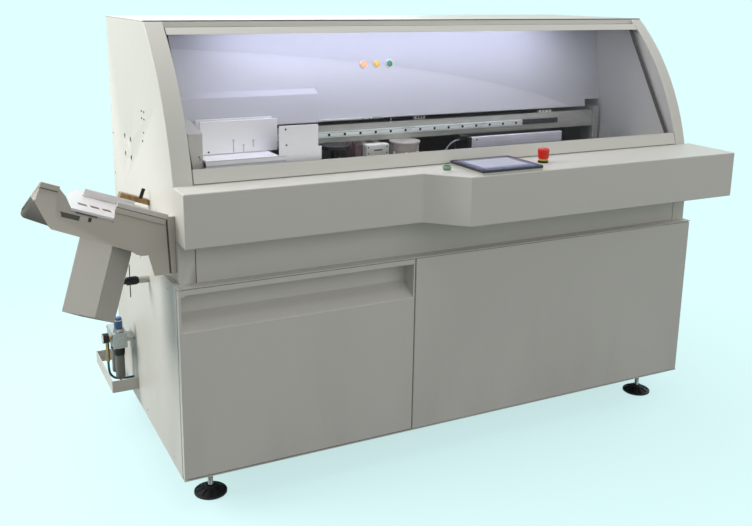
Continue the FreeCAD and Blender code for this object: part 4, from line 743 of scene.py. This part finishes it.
def screen_bezel():
    """The operator panel: a dark housing with rounded corners, its face set back round the glass,
    on a low plinth of the console's colour."""
    low, high = local("screen_frame", 0), local("screen_frame", 1)
    bm = bmesh.new()
    block(bm, (low[0], low[1], PLINTH_TOP), (high[0], high[1], SCREEN_TOP))
    upright = [e for e in bm.edges if abs(e.verts[0].co.z - e.verts[1].co.z) > 1 * MM]
    bevel(bm, upright, 6, 4)
    top = [f for f in bm.faces if f.normal.z > 0.9]
    bevel(bm, list(top[0].edges), 1.6, 3)
    top = [f for f in bm.faces if f.normal.z > 0.99]
    bmesh.ops.inset_region(bm, faces=top, thickness=GLASS_BORDER * MM)
    bmesh.ops.inset_region(bm, faces=top, thickness=0.8 * MM, depth=-1.4 * MM)
    block(bm, (low[0] + 3, low[1] + 2, low[2]), (high[0] - 3, high[1] - 3, PLINTH_TOP), 1.0, paint=1)
    finish("screen_frame_finished", bm, [SCREEN_PLASTIC, BODY_PAINT], "machine",
           ["screen_frame"])


def flute(verts, centre, low, high, share):
    """Draws every second line of a turned grip inwards, for the fingers."""
    middle = spot(*centre, 0)
    for v in verts:
        if not low * MM < v.co.z < high * MM:
            continue
        out = v.co - middle
        if round(math.atan2(out.y, out.x) / (math.pi / FLUTES)) % 2:
            v.co.x = middle.x + out.x * share
            v.co.y = middle.y + out.y * share


def housings():
    """The button's white ring and the stop's collar, each with its nut below the deck."""
    bm = bmesh.new()
    at = (*START, 0)
    ring = [(12.4, DECK), (12.4, 970.1), (13.6, 970.3), (16.2, 969.2), (17, 966.5), (17, DECK)]
    turned(bm, ring, at, steps=40)
    nut = [(12.4, DECK), (12.4, BELOW_DECK), (16, BELOW_DECK), (16, 958), (15, DECK)]
    turned(bm, nut, at, steps=24, paint=1)
    at = (*STOP, 0)
    collar = [(9.6, DECK), (15.8, DECK), (16.4, 965), (16.4, 970.6), (16, 971.4), (14, 971.6)]
    turned(bm, collar, at, steps=40, paint=1)
    rim = [(14, 971.6), (15.4, 971.6), (15.4, 973.2), (14, 973.8), (13.8, 976.4), (9.6, 976.4)]
    rim += [(9.6, DECK)]
    turned(bm, rim, at, steps=40, paint=2)
    nut = [(9.6, DECK), (9.6, BELOW_DECK), (18, BELOW_DECK), (18, 958), (17, DECK)]
    turned(bm, nut, at, steps=24, paint=1)
    finish("button_housings_finished", bm, [WHITE_PLASTIC, BLACK_PLASTIC, YELLOW_PLASTIC],
           "machine", ["button_housings"])


def start_button():
    """The green button on its plunger: a pale rim round a darker dome."""
    bm = bmesh.new()
    rim = [(0, 942), (9, 942), (9, 962), (11.6, 963), (11.6, 974.4), (13.2, 974.8), (13.8, 976)]
    rim += [(13.6, 978.2), (12.6, 980.8), (10.6, 983)]
    dome = [(10.6, 983), (7.6, 984.9), (4, 986), (0, 986.4)]
    turned(bm, rim, (*START, 0), steps=40, paint=1)
    turned(bm, dome, (*START, 0), steps=40)
    finish("start_button_finished", bm, [GREEN_PLASTIC, GREEN_RIM], "start_button",
           ["start_button"])


def stop_button():
    """The mushroom head: fluted round its side and hollow below, dished on top."""
    bm = bmesh.new()
    head = [(0, 942), (9, 942), (9, 981), (15.2, 981), (15.6, 980.4), (15.8, 978.6), (16.6, 978.2)]
    head += [(17.2, 979), (18, 990), (18.9, 1001), (18.8, 1005.4), (17.6, 1008.6), (14.6, 1010.2)]
    head += [(11, 1009.8), (5, 1009.1), (0, 1009)]
    made = turned(bm, head, (*STOP, 0), steps=2 * FLUTES)
    flute(made, STOP, 985, 1004, 0.965)
    finish("emergency_stop_button_finished", bm, RED_PLASTIC, "emergency_stop_button",
           ["emergency_stop_button"])


screen_bezel()
housings()
start_button()
stop_button()


# ---------------------------------------------------------------- signal lamps

LAMP_RADIUS, LAMP_BEZEL = 11, 15
LAMPS = [
    ("amber_lamp_lens", AMBER_LENS, "amber", 815),
    ("yellow_lamp_lens", YELLOW_LENS, "yellow", 866),
    ("green_lamp_lens", GREEN_LENS, "green", 917),
]
LAMP_Y, LAMP_Z = 512.3, 1244
BACK_LEAN = 9.8
OUT_OF_BACK = Matrix.Rotation(math.radians(90 - BACK_LEAN), 4, "X")


def lamps():
    """Three lenses on the bay's back panel, domed, each in a ring with a turned groove."""
    ring = bmesh.new()
    angles = [math.radians(a) for a in range(0, 91, 15)]
    dome = [(LAMP_RADIUS * math.sin(a), 3.4 + 3.6 * math.cos(a)) for a in angles]
    lens_profile = dome + [(LAMP_RADIUS, -24), (0, -24)]
    bore, groove = LAMP_RADIUS + 0.3, 13.4
    bezel = [(bore, 0), (bore, 3.6), (LAMP_RADIUS + 0.9, 4), (13.2, 4), (groove, 3.4)]
    bezel += [(13.8, 3.4), (14, 3.8), (LAMP_BEZEL, 2.6), (LAMP_BEZEL, 0)]
    for node, paint, slot, x in LAMPS:
        bm = bmesh.new()
        turned(bm, lens_profile, (x, LAMP_Y, LAMP_Z), OUT_OF_BACK, 40)
        finish(node + "_finished", bm, paint, "machine", [node])
        turned(ring, bezel, (x, LAMP_Y, LAMP_Z), OUT_OF_BACK, 40)
    finish("lamp_bezels_finished", ring, WHITE_PLASTIC, "machine",
           ["lamp_bezels"])


lamps()


# ---------------------------------------------------------------- side switch

SWITCH = (350, 618)
KNOB_END, KNOB_LONG = -83, 51
LEVER_LONG = 105
KNOB_RIB = (16, 1.4, 1.2)


def switch():
    """The side switch: a ribbed knob in two steps with a thin lever bar through it."""
    bm = bmesh.new()
    y, z = SWITCH
    grip = [(0, 0), (8, 0), (9, 1), (9, 13.5), (12.6, 14.2), (13, 15), (13, 24), (12.2, 24.4)]
    grip += [(12.2, 26), (13, 26.4), (13, 45), (12.2, 46), (10, KNOB_LONG), (0, KNOB_LONG)]
    turned(bm, grip, (KNOB_END, y, z), AXES["X"], 40)
    rod(bm, (KNOB_END + KNOB_LONG, y, z), 5, 12.9, AXES["X"], 16)
    rod(bm, (KNOB_END + KNOB_LONG / 2, y, z - LEVER_LONG / 2), 1.5, LEVER_LONG, AXES["Z"], 12, 0.5)
    size = Matrix.Diagonal([side * MM for side in KNOB_RIB] + [1])
    for turn in range(FLUTES):
        angle = 2 * math.pi * turn / FLUTES
        out = Matrix.Rotation(angle, 4, "X") @ Matrix.Translation((0, 0, 12.6 * MM))
        place = Matrix.Translation(spot(KNOB_END + 35.5, y, z)) @ out @ size
        bmesh.ops.create_cube(bm, size=1, matrix=place)
    finish("switch_knob_finished", bm, BLACK_PLASTIC, "switch_knob",
           ["switch_knob"])


switch()


# ---------------------------------------------------------------- air unit

AIR_X, AIR_Y, AIR_TOP, AIR_LOW = -53, 605, 362, 308
BOWL_PITCH, BOWL_RADIUS, BOWL_LOW, CUP_HIGH = 60, 16, 186, 95
GAUGE_X, GAUGE_Z, GAUGE_RADIUS = -107, 344, 17


def regulator_knob():
    """The blue pull-up knob of the regulator: ribbed grip, smooth cap, white ring at its foot."""
    bm = bmesh.new()
    rest = AIR_TOP + 12.3
    grip = [(0, rest), (12.6, rest), (13.8, rest + 1.2), (13.8, rest + 24), (13, rest + 26)]
    grip += [(12.6, rest + 34), (11.6, rest + 37), (9, rest + 38), (0, rest + 38)]
    made = turned(bm, grip, (AIR_X, AIR_Y, 0), steps=2 * FLUTES)
    flute(made, (AIR_X, AIR_Y), rest + 0.6, rest + 25, 0.94)
    turned(bm, [(0, rest), (6.9, rest), (6.9, rest - 10), (0, rest - 10)], (AIR_X, AIR_Y, 0), steps=16)
    turned(bm, [(12.9, rest + 27), (13.3, rest + 27.4), (13.3, rest + 29.4), (12.8, rest + 29.8)],
           (AIR_X, AIR_Y, 0), steps=40, paint=1)
    finish("air_regulator_knob_finished", bm, [BLUE_PLASTIC, WHITE_PLASTIC], "air_regulator_knob",
           ["air_regulator_knob"])


def bowl(bm, y):
    """A filter bowl: smoked see-through cup with ribs, dark bayonet collar and a drain nipple."""
    cup = [(0, 6), (5, 6), (11.6, 7), (14.8, 9.6), (BOWL_RADIUS, 14), (BOWL_RADIUS, CUP_HIGH)]
    turned(bm, cup, (AIR_X, y, BOWL_LOW), steps=36)
    nipple = [(0, 0), (4, 0), (4.6, 0.6), (4.6, 6.2), (0, 6.2)]
    turned(bm, nipple, (AIR_X, y, BOWL_LOW), steps=6, paint=2)
    collar = [(BOWL_RADIUS, 94), (17.4, 94), (18, 94.8), (18, 100), (16.8, 100.6), (16.8, 103)]
    collar += [(18, 103.6), (18, 121.2), (17.2, 122), (0, 122)]
    turned(bm, collar, (AIR_X, y, BOWL_LOW), steps=36, paint=1)
    for side in (-1, 1):
        low = (AIR_X - 3, y + side * 16.9 - 1, BOWL_LOW + 105)
        block(bm, low, (low[0] + 6, low[1] + 2, low[2] + 14), 0.4, paint=1)


def gauge(bm):
    """The pressure gauge: black case with its dial on the outer face, and a hexagon stem."""
    at = (GAUGE_X, AIR_Y, GAUGE_Z)
    case = [(0, 1.2), (14.6, 1.2), (14.8, 0.4), (15.6, 0), (GAUGE_RADIUS, 1.4), (GAUGE_RADIUS, 18)]
    case += [(15.4, 20), (0, 20)]
    turned(bm, case, at, AXES["X"], 40, paint=1)
    turned(bm, [(0, 0.9), (13.8, 0.9), (14, 1.3)], at, AXES["X"], 40, paint=3)
    turned(bm, [(0, 20), (6.4, 20), (6.4, 30), (0, 30)], at, AXES["X"], 6, paint=2)


def air_unit():
    bm = bmesh.new()
    for i in range(2):
        bowl(bm, AIR_Y + i * BOWL_PITCH)
    gauge(bm)
    finish("air_bowls_and_gauge_finished", bm, [BOWL_PLASTIC, BLACK_PLASTIC, BRASS, DIAL],
           "machine", ["air_bowls_and_gauge"])


def air_head():
    """The black collar under the regulator's knob and the screws of the air unit's body."""
    bm = bmesh.new()
    collar = [(14.6, 0), (18.2, 0), (18.2, 1), (17.4, 2), (17.4, 10.4), (16, 11.9), (14.2, 12)]
    turned(bm, collar, (AIR_X, AIR_Y, AIR_TOP), steps=40)
    for i in range(2):
        y = AIR_Y + i * BOWL_PITCH
        for high in (AIR_LOW + 7, AIR_TOP - 7):
            screw(bm, (AIR_X - 24, y - 17 + 34 * i, high), 3, LEFT, 1.6)
    finish("air_unit_collar", bm, BLACK_PLASTIC, "machine")


regulator_knob()
air_unit()
air_head()


# ---------------------------------------------------------------- hopper

HOPPER_TILT, HOPPER_LEVEL = 20, 872
CORNER_FOLD = [(-345, 58, 950.8), (-317.7, 58, 889.5)]
CORNER_BEND = 36
WING_TIP = (-376, 86, 934)
LIP_END = -152
BELT_FIRST, BELT_PITCH, BELT_WIDE = -229, 34, 27
STRIP_LOW, STRIP_TOP, STRIP_SLANT = 721.5, 884, 6.5


def hopper_plate():
    """The front plate, its lower outer corner bent back along a slanting line, and the wing that
    closes the side between the ear and that corner."""
    bm = merged_copy("hopper_front_plate")
    top, low, tip = (spot(*place) for place in (*CORNER_FOLD, WING_TIP))
    along = (low - top).normalized()
    across = Vector((0, 1, 0)).cross(along)
    wing = [v for v in bm.verts if v.co.y > spot(0, 120, 0).y and v.co.x < low.x]
    middle = sum((v.co for v in wing), Vector()) / len(wing)
    bmesh.ops.translate(bm, verts=wing, vec=tip - middle)
    geom = bm.verts[:] + bm.edges[:] + bm.faces[:]
    bmesh.ops.bisect_plane(bm, geom=geom, plane_co=low, plane_no=across, dist=1e-6)

    def past_fold(place):
        return (place - low).dot(across) > 0.1 * MM and place.x < low.x + 1 * MM

    corner = [v for v in bm.verts if past_fold(v.co) and v not in wing]
    bend = math.radians(CORNER_BEND)
    for v in corner:
        v.co += across * (v.co - low).dot(across) * (1 / math.cos(bend) - 1)
    for face in bm.faces:
        if all(v in wing for v in face.verts):
            face.material_index = 2
        # The faces past the fold get the darker grey: painted shade on the bent corner.
        elif past_fold(face.calc_center_median()):
            face.material_index = 1
    bmesh.ops.rotate(bm, verts=corner, cent=low, matrix=Matrix.Rotation(bend, 3, along))
    paints = [HOPPER_PAINT, CORNER_SHADE_PAINT, TABLE_PAINT]
    folded("hopper_front_plate", paints, 1.0, made=bm)


def feed_table():
    """The white table; the sheet that faces the operator has the hopper's own grey."""
    bm = merged_copy("hopper_feed_table")
    for face in bm.faces:
        face.material_index = 1 if abs(face.normal.y) > 0.9 else 0
    folded("hopper_feed_table", [TABLE_PAINT, HOPPER_PAINT], 1.0, made=bm)


def lean(bm):
    """Turns what was made level into the slope of the hopper."""
    slope = Matrix.Rotation(math.radians(HOPPER_TILT), 3, "Y")
    bmesh.ops.rotate(bm, verts=bm.verts, cent=spot(0, 0, HOPPER_LEVEL), matrix=slope)


def hopper_trim():
    """On the hopper's front: the rolled lip with painted shade below it, the same painted shade on the
    ear, painted shade in the notch, the table's white edge with painted shade under it, and a spring
    clip. On its table: the feed belts, whose dark reddish colour also stands in for the shade in the
    slots."""
    base = HOPPER_LEVEL
    painted_shade, white, clip, belt_and_slot_shade, lip = range(5)
    bm = bmesh.new()
    # Dark strips of painted shade: under the ear's lip and the right lip, in the notch, and under the
    # table's white edge.
    block(bm, (-353, 57.2, base + 0.5), (-307, 58.4, base + 3.2), 0.3, paint=painted_shade)
    block(bm, (LIP_END, 57.2, base - 2.6), (-9, 58.4, base + 1.2), 0.3, paint=painted_shade)
    block(bm, (LIP_END, 53.6, base + 1.2), (-8, 60.5, base + 16), 2.5, paint=lip)
    block(bm, (-300, 60.2, base - 62), (-222, 61.2, base - 47), 0.5, paint=painted_shade)
    block(bm, (-248, 59.4, base - 41.5), (-190, 61.2, base - 37.5), 0.4, paint=painted_shade)
    block(bm, (-262, 59.2, base - 37.5), (-146, 62, base - 30.6), 0.8, paint=white)
    block(bm, (-212, 57.4, base - 56), (-203, 61, base - 44), 0.8, paint=clip)
    rod(bm, (-207.5, 58, base - 50), 2.2, 2.4, FRONT, 16, paint=clip)
    # Feed belts in the slots; their dark reddish colour is also painted shade inside the slots.
    for i in range(3):
        left = BELT_FIRST + BELT_PITCH * i
        block(bm, (left, 134, base - 40), (left + BELT_WIDE, 178, base - 31.6), 1.0, paint=belt_and_slot_shade)
    lean(bm)
    finish("hopper_trim", bm, [LIP_SHADE, TABLE_PAINT, BLACKED_STEEL, FEED_BELT_AND_SLOT_SHADE, LIP_PAINT],
           "machine")


def hopper_end_strip():
    """The flange turned forward at the plate's inner end, and the dark line of painted shade beside
    it. Both of them stay on the plate's slanting end, so they go right as they go down."""
    bm = bmesh.new()
    block(bm, (-7.5, 53.4, STRIP_LOW), (12.6, 58.2, STRIP_TOP), 0.6)
    # The dark line beside the flange is painted shade.
    block(bm, (-12, 57.2, STRIP_LOW), (-7.5, 58.4, STRIP_TOP - 4), 0.3, paint=1)
    top, middle = spot(0, 0, STRIP_TOP).z, spot(5, 0, 0).x
    for v in bm.verts:
        if v.co.x < middle:
            v.co.x += STRIP_SLANT * MM * (top - v.co.z) / ((STRIP_TOP - STRIP_LOW) * MM)
    finish("hopper_end_strip", bm, [HOPPER_PAINT, LIP_SHADE], "machine")


def joggler_block():
    """The black damper block at the inner end of the brass squaring bar."""
    bm = bmesh.new()
    block(bm, (-19, 348, 869), (-8, 352.4, 901), 1.2)
    lean(bm)
    finish("joggler_block", bm, BLACK_PLASTIC, "machine")


hopper_plate()
feed_table()
hopper_trim()
hopper_end_strip()
joggler_block()


# ---------------------------------------------------------------- inside the bay

RAIL_FRONT, RAIL_LEVEL, RAIL_FIRST, RAIL_PITCH, RAIL_SCREWS = 468, 1010, 184.5, 60, 22
BEAM_TOP, BEHIND_RODS, PANEL_EDGE = 1042, 496, 473.5
CHAIN_START, CHAIN_PITCH, CHAIN_LINKS, LINK_LONG = 1479, 8, 21, 6.4
STOP_SLOPE = 26
JAW_FACE, GUIDE_FACE, STOP_FACE, LEDGE_FACE = 392, 300, 320, 299
DRIVE_FACE, NIP_FACE = 364, 380
PREMELTER, LID_LEVEL, CLAMP_OUT = (948, 445), 976, 54


def clamp_rail():
    """The ground rail with its ball grooves, and the socket heads in their counterbores."""
    low, high = local("linear_rail", 0), local("linear_rail", 1)
    bm = bmesh.new()
    block(bm, low, high, 0.8)
    for level in (-6.4, 5.4):
        start = (low[0] + 0.5, RAIL_FRONT - 0.1, RAIL_LEVEL + level)
        end = (high[0] - 0.5, RAIL_FRONT + 0.4, RAIL_LEVEL + level + 1)
        block(bm, start, end, 0.1, paint=3)
    # The counterbores are near black: painted shade in the recesses round the screw heads.
    counterbore = [(4.8, -0.2), (4.8, 0.25), (4.2, 0.3), (4.1, 0.05), (0, 0.05)]
    socket = [(3.2, 0.05), (3.2, 0.2), (2, 0.22), (2, 0.1), (0, 0.1)]
    for i in range(RAIL_SCREWS):
        at = (RAIL_FIRST + i * RAIL_PITCH, RAIL_FRONT, RAIL_LEVEL)
        turned(bm, counterbore, at, FRONT, 20, paint=1)
        turned(bm, socket, at, FRONT, 6, paint=2)
    finish("linear_rail_finished", bm, [RAIL_STEEL, SHADOW_BLACK, BLACKED_STEEL, DULL_STEEL],
           "machine", ["linear_rail"])


def beam_fittings():
    """What shows over the beam: a white scale on the panel's lower edge, behind the jaw rods a
    dark roller and a cable's connectors, and the drag chain past the rail's end."""
    white, steel, black, chain = range(4)
    y = BEHIND_RODS
    bm = bmesh.new()
    block(bm, (630, PANEL_EDGE, 1055.4), (833, 480.4, 1063), 0.6, paint=white)
    block(bm, (834, PANEL_EDGE, 1055.4), (872, 480.4, 1061.5), 0.6, paint=steel)
    for x in (796, 822):
        screw(bm, (x, PANEL_EDGE, 1059.2), 1.9, FRONT, 1, paint=black)
    rod(bm, (927, y + 9, 1048.4), 6.2, 84, AXES["X"], 24, paint=black)
    rod(bm, (921, y + 9, 1048.4), 3.4, 96, AXES["X"], 16, paint=steel)
    for x in (918, 1012):
        block(bm, (x, y + 2, BEAM_TOP), (x + 5, y + 16, 1054), 0.6, paint=steel)
    block(bm, (1017, y, BEAM_TOP), (1060, y + 10, 1055), 1.2, paint=white)
    for x in (1024, 1035, 1046):
        block(bm, (x, y - 1.2, 1045), (x + 6, y + 0.4, 1052), 0.4, paint=black)
    for x in range(1484, 1541, 14):
        block(bm, (x, 482, BEAM_TOP), (x + 10, 494, 1050), 0.8, paint=black)
    for x in range(1560, 1609, 16):
        block(bm, (x, 482, BEAM_TOP), (x + 11, 492, 1051), 0.8, paint=white)
    for i in range(CHAIN_LINKS):
        x = CHAIN_START + CHAIN_PITCH * i
        block(bm, (x, 472, 1001), (x + LINK_LONG, 481, 1020), 0.8, paint=chain)
    finish("beam_fittings", bm, [WHITE_PLASTIC, DULL_STEEL, BLACK_PLASTIC, CHAIN_PLASTIC],
           "machine")


def stop_block():
    """The block that a book is pushed against, its top sloping up to the back."""
    bm = merged_copy("loading_stop_block")
    corner = spot(*local("loading_stop_block", 1))
    for v in bm.verts:
        if v.co.z > corner.z - 1 * MM and v.co.y > corner.y - 1 * MM:
            v.co.z += STOP_SLOPE * MM
    folded("loading_stop_block", BODY_PAINT, 2.0, made=bm)


def jaw_trim():
    """On the front jaw: its dark screw and the three slots of the pressure keys."""
    bm = bmesh.new()
    screw(bm, (215.4, JAW_FACE, 992.7), 3.2, FRONT, 1.6, paint=1)
    for x, low, high in ((297, 987, 1026), (330.5, 987, 1009), (363.5, 1001, 1022)):
        rod(bm, (x, JAW_FACE - 0.2, high), 3.6, 0.9, FRONT, 20)
        block(bm, (x - 1.7, JAW_FACE - 0.7, low), (x + 1.7, JAW_FACE + 0.2, high), 0.2)
    finish("jaw_trim", bm, [KEY_GREY, BLACKED_STEEL], "clamp_front_jaw")


def loading_trim():
    """Screws of the guide plate and the stop block, and the ledge's two guide grooves."""
    steel, black, key = range(3)
    bm = bmesh.new()
    for x, z in ((438.9, 1065.6), (441.4, 1015.3)):
        screw(bm, (x, GUIDE_FACE, z), 3, FRONT, 1.6, paint=black)
    screw(bm, (163.3, STOP_FACE, 993.2), 3.4, FRONT, 1.8, paint=steel)
    rod(bm, (166, STOP_FACE, 984.6), 1.8, 0.8, FRONT, 12, paint=black)
    for z, thick in ((979.6, 2.2), (966, 2.6)):
        block(bm, (180, LEDGE_FACE, z), (440, LEDGE_FACE + 1.6, z + thick), 0.3, paint=key)
    finish("loading_trim", bm, [DULL_STEEL, BLACKED_STEEL, KEY_GREY], "machine")


def station_trim():
    """The drive block's slot, screws and top plate, and the premelter's lid and clamps."""
    bm = bmesh.new()
    block(bm, (786, DRIVE_FACE - 0.6, 963.2), (817, DRIVE_FACE + 0.4, 967.4), 1.2, paint=1)
    for x in (764.5, 835):
        for z in (976, 955, 933):
            screw(bm, (x, DRIVE_FACE, z), 2.6, FRONT, 1.4, paint=1)
    block(bm, (757.5, DRIVE_FACE + 1, 982.6), (842.5, 393, 985), 0.8)
    lid = [(0, 3.4), (22, 3.4), (24, 2.6), (52, 2.4), (55.6, 1.4), (56, 0.6), (56, -1.6), (55, -2)]
    turned(bm, lid + [(0, -2)], (*PREMELTER, LID_LEVEL), steps=56, paint=2)
    for angle in (200, 250, 300):
        turn = math.radians(angle)
        x = PREMELTER[0] + CLAMP_OUT * math.cos(turn)
        y = PREMELTER[1] + CLAMP_OUT * math.sin(turn)
        block(bm, (x - 5, y - 3, 936), (x + 5, y + 3, 943), 1.0)
    finish("station_trim", bm, [BLOCK_METAL, BLACKED_STEEL, DRUM_STEEL], "machine")


def nip_trim():
    """On the front nip bar: the end cap with its screw and oil hole."""
    bm = bmesh.new()
    block(bm, (1190.4, NIP_FACE - 1, 950), (1194, NIP_FACE + 0.6, 982), 0.3)
    rod(bm, (1211, NIP_FACE - 0.1, 973), 3, 0.6, FRONT, 20, paint=1)
    screw(bm, (1201, NIP_FACE, 973), 3.4, FRONT, 1.4)
    finish("nip_trim", bm, [BLOCK_METAL, BLACKED_STEEL], "front_nip_bar")


def sensor_plug():
    """The dark plug of the nip sensor, on the left end of the nip table."""
    bm = bmesh.new()
    block(bm, (1152, 394, 973), (1186, 408, 987), 1.6)
    rod(bm, (1146, 400, 976.6), 4.4, 10, AXES["X"], 20)
    rod(bm, (1186, 400, 981), 3.4, 3.4, AXES["X"], 16, paint=1)
    finish("nip_sensor_plug", bm, [BLACK_PLASTIC, DULL_STEEL], "machine")


clamp_rail()
beam_fittings()
stop_block()
jaw_trim()
loading_trim()
station_trim()
nip_trim()
sensor_plug()


# ---------------------------------------------------------------- fasteners of the housing

CABINET_LEFT, CABINET_RIGHT, CABINET_BACK = 0, 1900, 876
CASING_LEFT, CASING_RIGHT, COVER_BACK = 13, 1901, 879
GUARD_SCREWS = ((372, 1110), (372, 1132), (404, 1110), (404, 1132), (386, 1068), (402, 1040))


def side_screws():
    """Button head screws of the side casings, the side panels and the guard on the left side."""
    bm = bmesh.new()
    for y, z in GUARD_SCREWS:
        screw(bm, (CASING_LEFT, y, z), 3.2, LEFT, 1.8, paint=1)
    for z in (720, 860, 1000):
        screw(bm, (CASING_LEFT, 858, z), 3.4, LEFT, 1.8)
        screw(bm, (CASING_RIGHT, 858, z), 3.4, AXES["X"], 1.8)
    for y in (110, 450, 760):
        for z in (132, 660):
            screw(bm, (CABINET_LEFT, y, z), 3.4, LEFT, 1.8)
            screw(bm, (CABINET_RIGHT, y, z), 3.4, AXES["X"], 1.8)
    finish("side_screws", bm, [DULL_STEEL, BLACKED_STEEL], "machine")


def back_screws():
    """Rows of screws round the two back covers."""
    levels = ((CABINET_BACK, 128), (CABINET_BACK, 666), (COVER_BACK, 712), (COVER_BACK, 1378))
    rows = [(40 + i * 227.5, y, z) for i in range(9) for y, z in levels]
    rows += [(x, CABINET_BACK, z) for z in (300, 490) for x in (24, 1876)]
    rows += [(x, COVER_BACK, z) for z in (900, 1090, 1250) for x in (30, 1884)]
    bm = bmesh.new()
    for place in rows:
        screw(bm, place, 3.6, AXES["Y"], 2)
    finish("back_screws", bm, DULL_STEEL, "machine")


side_screws()
back_screws()
